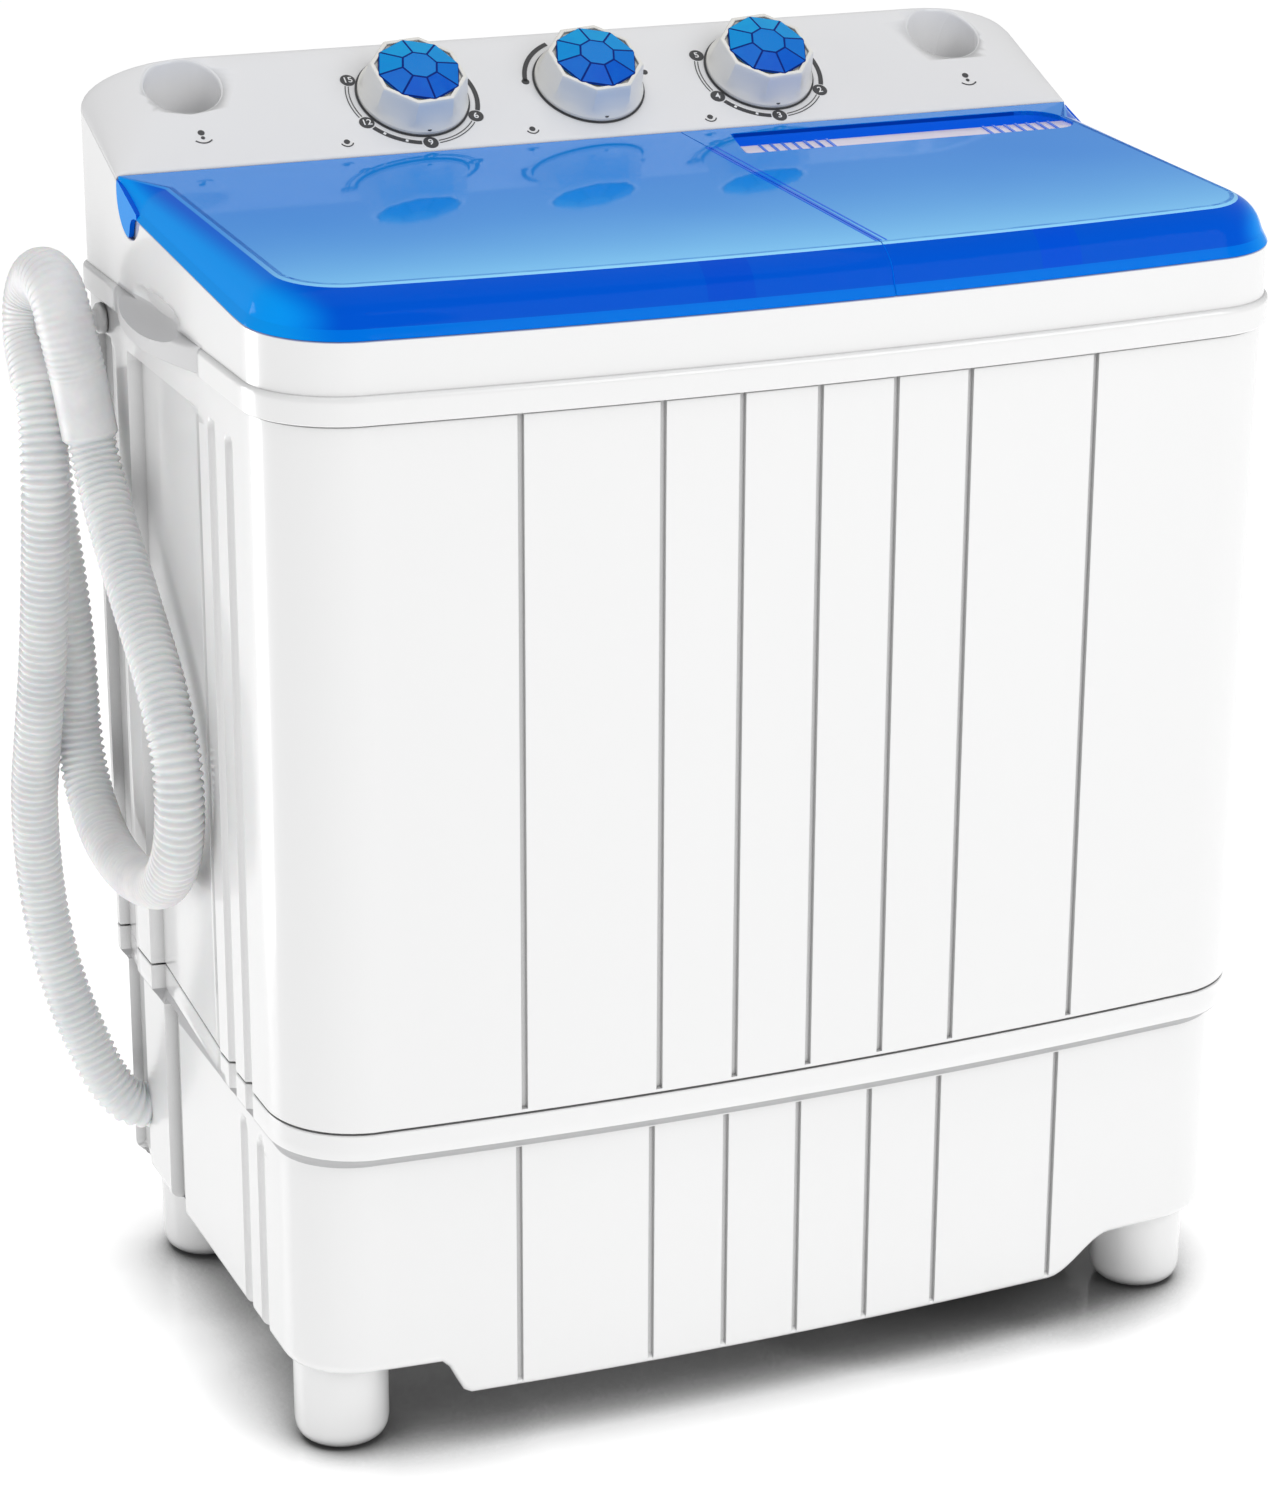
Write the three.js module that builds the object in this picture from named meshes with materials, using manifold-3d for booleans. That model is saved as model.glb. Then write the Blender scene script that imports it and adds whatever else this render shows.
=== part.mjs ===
// Twin tub washer: a wash tub with a pulsator on the left and a spin basket on the right, under two
// hinged lids and a sloping console. Millimetres. X is right, Y is back and Z is up. Every part is drawn
// about the middle of the cabinet, and the whole is then moved so that the origin lies on the floor under
// the middle of the overall envelope, hose and cord included.
import * as THREE from 'three';
import { mergeVertices } from 'three/addons/utils/BufferGeometryUtils.js';
import Module from 'manifold-3d';

const wasm = await Module();
wasm.setup();

// ---------------------------------------------------------------- driving dimensions
const ENVELOPE_CENTRE = { x: -22, y: 8.3 };
const GAP = 0.3;                  // clearance between pieces that rest on each other
const SHELL = 3.2;                // wall of the outer mouldings
const OVERCUT = 1;                // how far a cutter runs past the face that it cuts

const BODY_HALF = 286.5;          // half width of the upper body
const BODY_FRONT = -176;
const BODY_BACK = 176;
const FRONT_RADIUS = 50;          // vertical corner rounds
const BACK_RADIUS = 10;
const LEAST_RADIUS = 1.5;         // corner rounds never shrink below this when an outline is moved inwards
const CROWN = 10.4;               // how far the front face bows forward between its corner rounds

const SKIRT_BOTTOM = 33;
const CORNER_BOTTOM = 54;         // the skirt is cut up to here over the feet
const FLOOR_TOP = 58;
const SEAM = 201;                 // base below, upper body above
const CABINET_TOP = 581.5;
const FLANGE_TOP = 584.8;
const BAND_BOTTOM = 582.2;
const BAND_TOP = 597;
const BAND_PROUD = 3.5;           // how far the band stands out of the body
const DECK_BOTTOM = 603;
const DECK_TOP = 606;

const GROOVE_DEPTH = 2;
const GROOVE_WIDTH = 3;
const FRONT_GROOVES = [-162, -86.5, -43.2, 0, 43.2, 86.5, 162];
// Upright channels and recesses in each side wall, as [front Y, back Y].
const SIDE_CHANNELS = [[-91, -79], [-62, -50]];
const SIDE_RECESS = [-34, 98];
const REAR_RECESS = [127, 162];
const BASE_SLOT = [64, 93];
const BASE_REAR_SLOT = [134, 164];

const HINGE_Y = 79;               // lid hinge axis, parallel to X
const HINGE_Z = 650;
const HINGE_RADIUS = 2;
const HINGE_BORE = 2.4;
const HOOK_RADIUS = 21.9;         // back edge of the lid's side hook, round the hinge axis
const LID_SEAM = 41;              // X of the gap between the two lids
const LID_HALF = 287.8;
const LID_FRONT = -177.3;
const LID_BACK = 99.4;
const LID_TOP_BACK = 657.6;       // height of the lid's top at its back edge
const LID_TOP_SLOPE = 0.0378;
const LID_WALL = 2.6;

const CONSOLE_TILT = THREE.MathUtils.degToRad(33);
const CONSOLE_FRONT = 100.4;      // Y and Z of the sloping face's front edge
const CONSOLE_Z = 658.4;
const CONSOLE_HALF = 287.5;
const CONSOLE_WALL = 3;
const DIAL_T = 42.5;              // distance up the slope from the front edge to the knobs
const DIAL_X = 106;
const BOWL_X = 233.5;
const BOWL_Y = 152.5;

const WASH_X = -116;              // pulsator axis
const TUB_Y = -33;                // both tubs' axes
const SPIN_X = 157;               // spin basket axis
const WASH_TUB = { left: -262, right: 30, front: -141, back: 75, radius: 40, bottom: 232 };
const SPIN_TUB = { radius: 115, bottom: 285 };
const TUB_WALL = 3;

const SHAFT_RADIUS = 6;
const BEARING_RADIUS = 6.5;
const PULLEY_Z = 166;             // middle of the drive belt
const PULSATOR_PULLEY = 56;       // groove radii of the two pulleys
const MOTOR_PULLEY = 11;
const WASH_MOTOR = { x: -195, y: 75, radius: 46, bottom: FLOOR_TOP + GAP, top: 146 };
const SPIN_MOTOR = { radius: 56, bottom: 92, top: 185 };
const MOUNT_CIRCLE = 64;          // radius of the ring of three spin motor mounts
const DRUM = { radius: 42, bottom: 200, top: 222 };
const BRAKE_PIVOT = { x: 212, y: -92 };

const VALVE = { x: -12, y: 112, bottom: 188, top: 242 };
const FOOT = { x: 247.5, front: -112, back: 136, radius: 26 };
const HOSE_RADIUS = 13.2;
const HOSE_BORE = 10.8;

// ---------------------------------------------------------------- geometry helpers
function weld(geometry) {
  const bare = geometry.clone();
  bare.deleteAttribute('normal');
  bare.deleteAttribute('uv');
  const merged = mergeVertices(bare, 1e-4);
  const corners = merged.index.array;
  const kept = [];
  for (let i = 0; i < corners.length; i += 3) {
    const [a, b, c] = corners.slice(i, i + 3);
    if (a !== b && b !== c && c !== a) kept.push(a, b, c);
  }
  merged.setIndex(kept);
  merged.clearGroups();
  return merged;
}

function toManifold(geometry) {
  const welded = weld(geometry);
  const vertProperties = new Float32Array(welded.attributes.position.array);
  const triVerts = new Uint32Array(welded.index.array);
  return new wasm.Manifold(new wasm.Mesh({ numProp: 3, vertProperties, triVerts }));
}

function fromManifold(manifold) {
  const mesh = manifold.getMesh();
  const geometry = new THREE.BufferGeometry();
  geometry.setAttribute('position', new THREE.BufferAttribute(new Float32Array(mesh.vertProperties), 3));
  geometry.setIndex(Array.from(mesh.triVerts));
  return geometry;
}

function combine(operation, first, others) {
  let result = toManifold(first);
  for (const geometry of others) result = result[operation](toManifold(geometry));
  return fromManifold(result);
}

const join = (first, ...others) => combine('add', first, others);
const cut = (first, ...others) => combine('subtract', first, others);
const meet = (first, ...others) => combine('intersect', first, others);

function box(x0, x1, y0, y1, z0, z1) {
  const geometry = new THREE.BoxGeometry(x1 - x0, y1 - y0, z1 - z0);
  return geometry.translate((x0 + x1) / 2, (y0 + y1) / 2, (z0 + z1) / 2);
}

// A plan outline pushed up from z0 to z1.
function prism(shape, z0, z1, curveSegments = 3) {
  const geometry = new THREE.ExtrudeGeometry(shape, { depth: z1 - z0, bevelEnabled: false, curveSegments });
  return geometry.translate(0, 0, z0);
}

// A side view outline in (Y, Z) pushed along X.
function prismAlongX(shape, x0, x1, curveSegments = 3) {
  const geometry = new THREE.ExtrudeGeometry(shape, { depth: x1 - x0, bevelEnabled: false, curveSegments });
  const turn = new THREE.Matrix4().makeBasis(
    new THREE.Vector3(0, 1, 0), new THREE.Vector3(0, 0, 1), new THREE.Vector3(1, 0, 0));
  return geometry.applyMatrix4(turn).translate(x0, 0, 0);
}

// A front view outline in (X, Z) pushed along Y.
function prismAlongY(shape, y0, y1) {
  const geometry = new THREE.ExtrudeGeometry(shape, { depth: y1 - y0, bevelEnabled: false });
  return geometry.rotateX(Math.PI / 2).translate(0, y1, 0);
}

function rod(radius, z0, z1, sides = 16, topRadius = radius) {
  const geometry = new THREE.CylinderGeometry(topRadius, radius, z1 - z0, sides);
  return geometry.rotateX(Math.PI / 2).translate(0, 0, (z0 + z1) / 2);
}

function rodAlongX(radius, x0, x1, y, z, sides = 12) {
  const geometry = new THREE.CylinderGeometry(radius, radius, x1 - x0, sides);
  return geometry.rotateZ(Math.PI / 2).translate((x0 + x1) / 2, y, z);
}

// A profile of [radius, z] points turned round the Z axis.
function turned(profile, sides = 24) {
  const points = profile.map(([radius, z]) => new THREE.Vector2(radius, z));
  return new THREE.LatheGeometry(points, sides).rotateX(Math.PI / 2);
}

function polygon(points) {
  return new THREE.Shape(points.map(([a, b]) => new THREE.Vector2(a, b)));
}

function ringShape(outer, inner) {
  const shape = new THREE.Shape().absarc(0, 0, outer, 0, 2 * Math.PI);
  shape.holes.push(new THREE.Path().absarc(0, 0, inner, 0, 2 * Math.PI));
  return shape;
}

// A round tube, or a solid cord where the bore is 0, along a smooth curve through points.
function tube(points, radius, bore, steps, curveSegments = 4) {
  const path = new THREE.CatmullRomCurve3(points.map((p) => new THREE.Vector3(...p)), false, 'centripetal');
  const shape = bore > 0 ? ringShape(radius, bore) : new THREE.Shape().absarc(0, 0, radius, 0, 2 * Math.PI);
  return new THREE.ExtrudeGeometry(shape, { steps, bevelEnabled: false, extrudePath: path, curveSegments });
}

// Everything on the negative side of a plane, as a big block.
function halfSpace(point, normal) {
  const size = 2400;
  const block = new THREE.BoxGeometry(size, size, size).translate(0, 0, -size / 2);
  const up = new THREE.Vector3(0, 0, 1);
  block.applyQuaternion(new THREE.Quaternion().setFromUnitVectors(up, normal.clone().normalize()));
  return block.translate(point.x, point.y, point.z);
}

const ordered = (a, b) => [Math.min(a, b), Math.max(a, b)];

// ---------------------------------------------------------------- outlines
function planShape(half, front, back, frontRadius, backRadius) {
  const shape = new THREE.Shape();
  shape.moveTo(-half + frontRadius, front + CROWN);
  shape.quadraticCurveTo(0, front - CROWN, half - frontRadius, front + CROWN);
  shape.absarc(half - frontRadius, front + CROWN + frontRadius, frontRadius, -Math.PI / 2, 0);
  shape.lineTo(half, back - backRadius);
  shape.absarc(half - backRadius, back - backRadius, backRadius, 0, Math.PI / 2);
  shape.absarc(-half + backRadius, back - backRadius, backRadius, Math.PI / 2, Math.PI);
  shape.lineTo(-half, front + CROWN + frontRadius);
  shape.absarc(-half + frontRadius, front + CROWN + frontRadius, frontRadius, Math.PI, 1.5 * Math.PI);
  return shape;
}

// The upper body's outline, moved inwards by inset.
function plan(inset) {
  return planShape(BODY_HALF - inset, BODY_FRONT + inset, BODY_BACK - inset,
    FRONT_RADIUS - inset, Math.max(LEAST_RADIUS, BACK_RADIUS - inset));
}

// The base's outline: it is set back further at the front and back than at the sides.
function basePlan(inset) {
  const sideStep = 5.5;
  const endStep = 10.5;
  return planShape(BODY_HALF - sideStep - inset, BODY_FRONT + endStep + inset, BODY_BACK - endStep - inset,
    FRONT_RADIUS - sideStep - inset, Math.max(LEAST_RADIUS, BACK_RADIUS - sideStep - inset));
}

function roundedRectangle(left, right, front, back, radius) {
  const shape = new THREE.Shape();
  shape.absarc(right - radius, front + radius, radius, -Math.PI / 2, 0);
  shape.absarc(right - radius, back - radius, radius, 0, Math.PI / 2);
  shape.absarc(left + radius, back - radius, radius, Math.PI / 2, Math.PI);
  shape.absarc(left + radius, front + radius, radius, Math.PI, 1.5 * Math.PI);
  return shape;
}

function washOpening(inset) {
  const { left, right, front, back, radius } = WASH_TUB;
  return roundedRectangle(left + inset, right - inset, front + inset, back - inset, radius - inset);
}

// Height of the lids' lower edge and of their top, along Y.
function lidLowerEdge(y) {
  const flat = { y: -104, z: 626.6 };
  const slope = y < flat.y ? 0.036 : 0.0847;
  return flat.z + slope * (y - flat.y);
}

const lidTop = (y) => LID_TOP_BACK - LID_TOP_SLOPE * (LID_BACK - y);
const consoleTop = (y) => CONSOLE_Z + Math.tan(CONSOLE_TILT) * (y - CONSOLE_FRONT);

// ---------------------------------------------------------------- materials
function plastic(color, roughness) {
  return new THREE.MeshStandardMaterial({ color, roughness, metalness: 0 });
}

function metal(color, roughness) {
  return new THREE.MeshStandardMaterial({ color, roughness, metalness: 0.9 });
}

const WHITE = plastic(0xf0f0f0, 0.35);
const SATIN_WHITE = plastic(0xe4e4e4, 0.5);
const BLUE_CLEAR = new THREE.MeshStandardMaterial(
  { color: 0x1a6fe0, roughness: 0.1, metalness: 0, transparent: true, opacity: 0.7 });
const BLUE_CAP = plastic(0x1d6fc4, 0.12);
const PALE_STRIP = plastic(0xe2d8ec, 0.4);
const PULSATOR_GREY = plastic(0xd5dbe2, 0.4);
const BLACK_RUBBER = plastic(0x1c1c1e, 0.8);
const BLACK_PLASTIC = plastic(0x26282b, 0.55);
const STEEL = metal(0xb8bbc0, 0.35);
const MOTOR_PAINT = metal(0x6f757c, 0.5);
const ALUMINIUM = metal(0xc4c7cb, 0.4);

// ---------------------------------------------------------------- scene graph
const washer = new THREE.Group();
washer.position.set(-ENVELOPE_CENTRE.x, -ENVELOPE_CENTRE.y, 0);
const consoleFace = new THREE.Group();
consoleFace.position.set(0, CONSOLE_FRONT, CONSOLE_Z);
consoleFace.rotation.x = CONSOLE_TILT;
washer.add(consoleFace);

function place(parent, name, geometry, material, x = 0, y = 0, z = 0) {
  const mesh = new THREE.Mesh(weld(geometry), material);
  mesh.name = name;
  mesh.position.set(x, y, z);
  parent.add(mesh);
  return mesh;
}

// ---------------------------------------------------------------- outer mouldings
function sideGrooves(x, spans, z0, z1) {
  return spans.map(([y0, y1]) => box(x - GROOVE_DEPTH, x + GROOVE_DEPTH, y0, y1, z0, z1));
}

function addBase() {
  const outer = join(prism(basePlan(0), SKIRT_BOTTOM, SEAM - 8), prism(plan(0), SEAM - 15, SEAM));
  const inside = prism(basePlan(SHELL), FLOOR_TOP, SEAM + OVERCUT);
  const under = prism(basePlan(SHELL), SKIRT_BOTTOM - OVERCUT, CORNER_BOTTOM);
  const grooves = FRONT_GROOVES.map((x) =>
    box(x - GROOVE_WIDTH / 2, x + GROOVE_WIDTH / 2, -200, frontOfBase(x) + GROOVE_DEPTH, 37, 177));
  const shoulder = 190;
  const reach = 210;
  const overFeet = [-1, 1].map((side) => prismAlongY(polygon([
    [side * shoulder, SKIRT_BOTTOM - OVERCUT],
    [side * reach, CORNER_BOTTOM],
    [side * 320, CORNER_BOTTOM],
    [side * 320, SKIRT_BOTTOM - OVERCUT],
  ]), -200, 200));
  const half = BODY_HALF - 5.5;
  const sideRecesses = [-1, 1].flatMap((side) => [
    ...sideGrooves(side * half, SIDE_CHANNELS, 60, 170),
    ...sideGrooves(side * half, [BASE_SLOT, BASE_REAR_SLOT], 60, 180),
  ]);
  const motorVent = rod(48, 40, 70, 20).translate(SPIN_X, TUB_Y, 0);
  const hoseExit = rodAlongX(16, -300, -270, 142.5, 94.5, 12);
  const cordExit = new THREE.CylinderGeometry(5.5, 5.5, 30, 12).translate(205, 166, 110);
  const serviceHole = box(-150, 150, 150, 190, 76, 168);
  place(washer, 'base', cut(outer, inside, under, ...grooves, ...overFeet, ...sideRecesses, motorVent,
    hoseExit, cordExit, serviceHole), WHITE);
}

function frontOfBase(x) {
  return BODY_FRONT + 10.5 + CROWN * (x / 240) ** 2;
}

function addMotorGuard() {
  const profile = [[0, 8], [58, 8], [86, 30], [86, 53.7], [83, 53.7], [83, 31], [57, 10.5], [0, 10.5]];
  place(washer, 'spin_motor_guard', turned(profile, 24), WHITE, SPIN_X, TUB_Y - 6);
}

function addFeet() {
  const profile = [[0, 0], [22, 0], [25, 1.5], [FOOT.radius, 5], [FOOT.radius, CORNER_BOTTOM - GAP],
    [0, CORNER_BOTTOM - GAP]];
  for (const [end, y] of [['front', FOOT.front], ['rear', FOOT.back]]) {
    place(washer, `foot_${end}_left`, turned(profile, 20), WHITE, -FOOT.x, y);
    place(washer, `foot_${end}_right`, turned(profile, 20), WHITE, FOOT.x, y);
  }
}

function addCabinet() {
  const bottom = SEAM + GAP;
  const outer = prism(plan(0), bottom, CABINET_TOP);
  const inside = prism(plan(SHELL), bottom - OVERCUT, CABINET_TOP + OVERCUT);
  const grooves = FRONT_GROOVES.map((x) => {
    const face = BODY_FRONT + CROWN * (x / 240) ** 2;
    return box(x - GROOVE_WIDTH / 2, x + GROOVE_WIDTH / 2, -200, face + GROOVE_DEPTH, bottom + 3, 572);
  });
  const recesses = [-1, 1].flatMap((side) =>
    sideGrooves(side * BODY_HALF, [...SIDE_CHANNELS, SIDE_RECESS, REAR_RECESS], 210, 562));
  place(washer, 'cabinet', cut(outer, inside, ...grooves, ...recesses), WHITE);
}

function addServiceCover() {
  const back = BODY_BACK - 10.5;
  const plate = box(-158, 158, back + GAP, back + 2.8, 68, 176);
  const louvres = [];
  for (let x = -110; x <= 110; x += 20) louvres.push(box(x - 3, x + 3, back - 5, back + 10, 95, 150));
  const corners = [[-153, 73], [153, 73], [153, 171], [-153, 171]];
  const holes = corners.map(([x, z]) => new THREE.CylinderGeometry(2, 2, 20, 8).translate(x, back, z));
  place(washer, 'service_cover', cut(plate, ...louvres, ...holes), WHITE);
  corners.forEach(([x, z], i) => {
    const screw = rod(3.6, 0, 2, 10);
    place(washer, `service_cover_screw_${i + 1}`, screw, STEEL, x, back + 3.1, z).rotation.x = -Math.PI / 2;
  });
}

function addTubBody() {
  const washOuter = prism(washOpening(0), WASH_TUB.bottom, FLANGE_TOP);
  const washInner = prism(washOpening(TUB_WALL), WASH_TUB.bottom + TUB_WALL, FLANGE_TOP + OVERCUT);
  const spinOuter = rod(SPIN_TUB.radius, SPIN_TUB.bottom, FLANGE_TOP, 28).translate(SPIN_X, TUB_Y, 0);
  const spinInner = rod(SPIN_TUB.radius - TUB_WALL, SPIN_TUB.bottom + TUB_WALL, FLANGE_TOP + OVERCUT, 28);
  spinInner.translate(SPIN_X, TUB_Y, 0);
  const flange = prism(plan(0.2), FLANGE_TOP - 3, FLANGE_TOP);
  const bottomHoles = [
    rod(9, 220, 245, 12).translate(WASH_X, TUB_Y, 0),
    rod(10, 220, 245, 12).translate(-60, 50, 0),
    rod(14, 275, 300, 12).translate(SPIN_X, TUB_Y, 0),
    rod(8, 275, 300, 12).translate(110, 30, 0),
  ];
  const rodHole = rod(6, 575, 590, 10).translate(VALVE.x, VALVE.y, 0);
  const cableHole = rod(5, 575, 590, 10).translate(70, 97, 0);
  place(washer, 'tub_body', cut(join(washOuter, spinOuter, flange), washInner, spinInner, ...bottomHoles,
    rodHole, cableHole), SATIN_WHITE);
}

// ---------------------------------------------------------------- top frame and console
function hingeDisc(radius, x0, x1) {
  return rodAlongX(radius, x0, x1, HINGE_Y, HINGE_Z, 28);
}

function consoleSolid(inset) {
  const front = CONSOLE_FRONT + 1.4 + inset;
  const back = BODY_BACK - inset;
  const drop = inset / Math.cos(CONSOLE_TILT);
  const side = [[front, 590], [back, 590], [back, consoleTop(back) - drop], [front, consoleTop(front) - drop]];
  if (inset === 0) side.push([CONSOLE_FRONT, CONSOLE_Z]);
  const wedge = prismAlongX(polygon(side), -CONSOLE_HALF + inset, CONSOLE_HALF - inset);
  // The side corners are bevelled, narrow at the front and wide at the back.
  const bevels = [-1, 1].map((end) => {
    const normal = new THREE.Vector3(end * 0.461, -0.3, 0.835).normalize();
    const corner = new THREE.Vector3(end * CONSOLE_HALF, CONSOLE_FRONT, CONSOLE_Z);
    return halfSpace(corner.addScaledVector(normal, -inset), normal);
  });
  return meet(wedge, ...bevels);
}

// Everything below the joint between the control panel and its housing.
function belowPanel(lower) {
  const start = new THREE.Vector3(0, 102, 655.6 - lower);
  const normal = new THREE.Vector3(0, -28.8, 73).normalize();
  return halfSpace(start, normal);
}

function handleShape(side) {
  const shape = new THREE.Shape();
  const root = side * (BODY_HALF - 1);
  shape.moveTo(root, -45);
  shape.lineTo(side * 289, -45);
  shape.quadraticCurveTo(side * 312, 30, side * 289, 105);
  shape.lineTo(root, 105);
  return shape;
}

function addTopFrame() {
  const wallTop = polygon([[-200, 585], [-200, lidLowerEdge(-200) - 0.4], [-104, lidLowerEdge(-104) - 0.4],
    [66, lidLowerEdge(66) - 0.4], [110, lidLowerEdge(66) - 0.4], [110, 585]]);
  const hookSweep = hingeDisc(HOOK_RADIUS + 0.6, -320, 320);
  const wall = cut(meet(prism(plan(-1), 590, 660), prismAlongX(wallTop, -320, 320)), hookSweep);
  const band = prism(plan(-BAND_PROUD), BAND_BOTTOM, BAND_TOP);
  const handles = [-1, 1].map((side) => prism(handleShape(side), BAND_BOTTOM, BAND_TOP, 6));
  const console = cut(meet(consoleSolid(0), belowPanel(0)), hingeDisc(HOOK_RADIUS + 0.8, -320, 320));

  const front = box(-320, 320, -220, CONSOLE_FRONT + 1.4, DECK_TOP, 700);
  const aboveDeck = meet(prism(plan(2.2), DECK_TOP, 700), front);
  const inConsole = meet(consoleSolid(CONSOLE_WALL), box(-320, 320, 80, 200, DECK_TOP, 760));
  const belowDeck = join(prism(plan(-0.5), BAND_BOTTOM - OVERCUT, 594), prism(plan(3), 590, DECK_BOTTOM));
  const hollow = cut(join(band, wall, console, ...handles), aboveDeck, inConsole, belowDeck);

  const bearings = [[35, 47], [-284.7, -281.7], [281.7, 284.7]].map(([x0, x1]) =>
    box(x0, x1, 70, 82.2, DECK_BOTTOM, 651.9));
  const washLip = prism(washOpening(TUB_WALL + 0.4), FLANGE_TOP + GAP, DECK_TOP);
  const spinLip = rod(SPIN_TUB.radius - TUB_WALL - 0.4, FLANGE_TOP + GAP, DECK_TOP, 28);
  const washHole = prism(washOpening(TUB_WALL + 3), FLANGE_TOP - 4, DECK_TOP + OVERCUT);
  const spinHole = rod(100, FLANGE_TOP - 4, DECK_TOP + OVERCUT, 28).translate(SPIN_X, TUB_Y, 0);
  const rodHole = rod(6, 595, 612, 10).translate(VALVE.x, VALVE.y, 0);
  const cableHole = rod(5, 595, 612, 10).translate(70, 93, 0);
  const pinBores = rodAlongX(HINGE_BORE, -300, 300, HINGE_Y, HINGE_Z, 16);
  const scoops = [-1, 1].map((side) => {
    const ball = new THREE.SphereGeometry(1, 12, 6).rotateX(Math.PI / 2).scale(16, 70, 7);
    return ball.translate(side * 301, 30, BAND_TOP + 2);
  });
  place(washer, 'top_frame', cut(join(hollow, ...bearings, washLip, spinLip.translate(SPIN_X, TUB_Y, 0)),
    washHole, spinHole, rodHole, cableHole, pinBores, ...scoops), WHITE);
}

function bowlOutline(inset) {
  return new THREE.Shape().absellipse(0, 0, 20 - inset, 16.4 - inset, 0, 2 * Math.PI);
}

function addControlPanel() {
  const shell = cut(consoleSolid(0), consoleSolid(CONSOLE_WALL));
  const panel = cut(shell, belowPanel(-GAP));
  const spindleHoles = [-DIAL_X, 0, DIAL_X].map((x) => {
    const hole = rod(4.5, -12, 12, 12).translate(x, DIAL_T, 0).rotateX(CONSOLE_TILT);
    return hole.translate(0, CONSOLE_FRONT, CONSOLE_Z);
  });
  const bowlHoles = [-1, 1].map((side) =>
    prism(bowlOutline(-GAP), 640, 730, 8).translate(side * BOWL_X, BOWL_Y, 0));
  place(washer, 'control_panel', cut(panel, ...spindleHoles, ...bowlHoles), WHITE);
}

function addInletBowls() {
  const bottom = 668;
  const wall = 1.8;
  for (const [name, side] of [['left', -1], ['right', 1]]) {
    const outer = prism(bowlOutline(0), bottom, 730, 8);
    const inner = prism(bowlOutline(wall), bottom + wall, 740, 8);
    const drip = rod(4, bottom - 5, bottom + 5, 10);
    const bowl = cut(outer, inner, drip).translate(side * BOWL_X, BOWL_Y, 0);
    place(washer, `inlet_bowl_${name}`, meet(bowl, consoleSolid(0)), WHITE);
  }
}

// ---------------------------------------------------------------- console fittings
function knobGeometry() {
  const skirt = turned([[0, 0.6], [30.7, 0.6], [30.7, 3], [28, 14], [0, 14]], 24);
  const grip = rod(27.5, 6, 20, 8, 26).rotateZ(Math.PI / 8);
  const stem = rod(3, -20, 1, 10);
  return join(skirt, grip, stem);
}

function addKnobs() {
  const facet = THREE.MathUtils.degToRad(28);
  const timers = [['wash_timer', -DIAL_X], ['wash_selector', 0], ['spin_timer', DIAL_X]];
  for (const [name, x] of timers) {
    const spin = new THREE.Group();
    spin.position.set(x, DIAL_T, 0);
    spin.rotation.z = facet;
    consoleFace.add(spin);
    place(spin, `${name}_knob`, knobGeometry(), WHITE);
    place(spin, `${name}_cap`, rod(23.5, 20 + GAP, 24, 8, 18).rotateZ(Math.PI / 8), BLUE_CAP);
    const housing = rod(21, -CONSOLE_WALL - 25, -CONSOLE_WALL - GAP, 16);
    place(spin, `${name}_box`, cut(housing, rod(3.6, -24, 0, 10)), SATIN_WHITE);
  }
}

function addLidSwitch() {
  place(washer, 'spin_lid_switch', box(130, 156, 106, 120, 612, 640), BLACK_PLASTIC);
}

// ---------------------------------------------------------------- lids
// One lid's plan from the seam at X = seam to the side, with the front corner rounded.
function lidShape(side, seam, inset, back) {
  const half = LID_HALF - inset;
  const radius = FRONT_RADIUS + 1.3 - inset;
  const frontAt = (x) => LID_FRONT + inset + CROWN * (x / (LID_HALF - FRONT_RADIUS)) ** 2;
  const corner = side * (half - radius);
  const shape = new THREE.Shape();
  shape.moveTo(seam, back);
  const steps = 3;
  for (let i = 0; i < steps; i += 1) {
    const x = seam + (corner - seam) * (i / steps);
    shape.lineTo(x, frontAt(x));
  }
  const start = -Math.PI / 2;
  shape.absarc(corner, frontAt(corner) + radius, radius, start, start + side * Math.PI / 2, side < 0);
  shape.lineTo(side * half, back);
  return shape;
}

// The lid's rim leans in from its lower edge to the flat top: a steep part, then a shallow one.
function lidSolid(side, seam, inset, drop, back) {
  const shape = lidShape(side, seam, inset, back);
  const options = { depth: 1, steps: 2, bevelEnabled: false, curveSegments: 4 };
  const geometry = new THREE.ExtrudeGeometry(shape, options);
  const lean = [0, 6, 19];
  const rise = [0, 0.6, 1];
  const width = Math.abs(side * LID_HALF - seam);
  const depth = LID_BACK - LID_FRONT;
  const points = geometry.attributes.position;
  for (let i = 0; i < points.count; i += 1) {
    const level = Math.round(points.getZ(i) * 2);
    const x = seam + (points.getX(i) - seam) * (1 - lean[level] / width);
    const y = LID_BACK + (points.getY(i) - LID_BACK) * (1 - lean[level] / depth);
    const low = lidLowerEdge(y) - (level === 0 && drop > 0 ? 2 : 0);
    const high = lidTop(y) - drop;
    points.setXYZ(i, x, y, low + (high - low) * rise[level]);
  }
  return geometry;
}

// The hook at the lid's back corner: its back edge is an arc round the hinge axis.
function hookGeometry(side) {
  const shape = new THREE.Shape();
  shape.moveTo(60, 641.5);
  shape.lineTo(74, 639.5);
  shape.lineTo(80.5, 628.2);
  shape.absarc(HINGE_Y, HINGE_Z, HOOK_RADIUS, THREE.MathUtils.degToRad(-85), THREE.MathUtils.degToRad(18));
  shape.lineTo(60, 655);
  return prismAlongX(shape, ...ordered(side * LID_HALF, side * (LID_HALF - LID_WALL)), 5);
}

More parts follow.
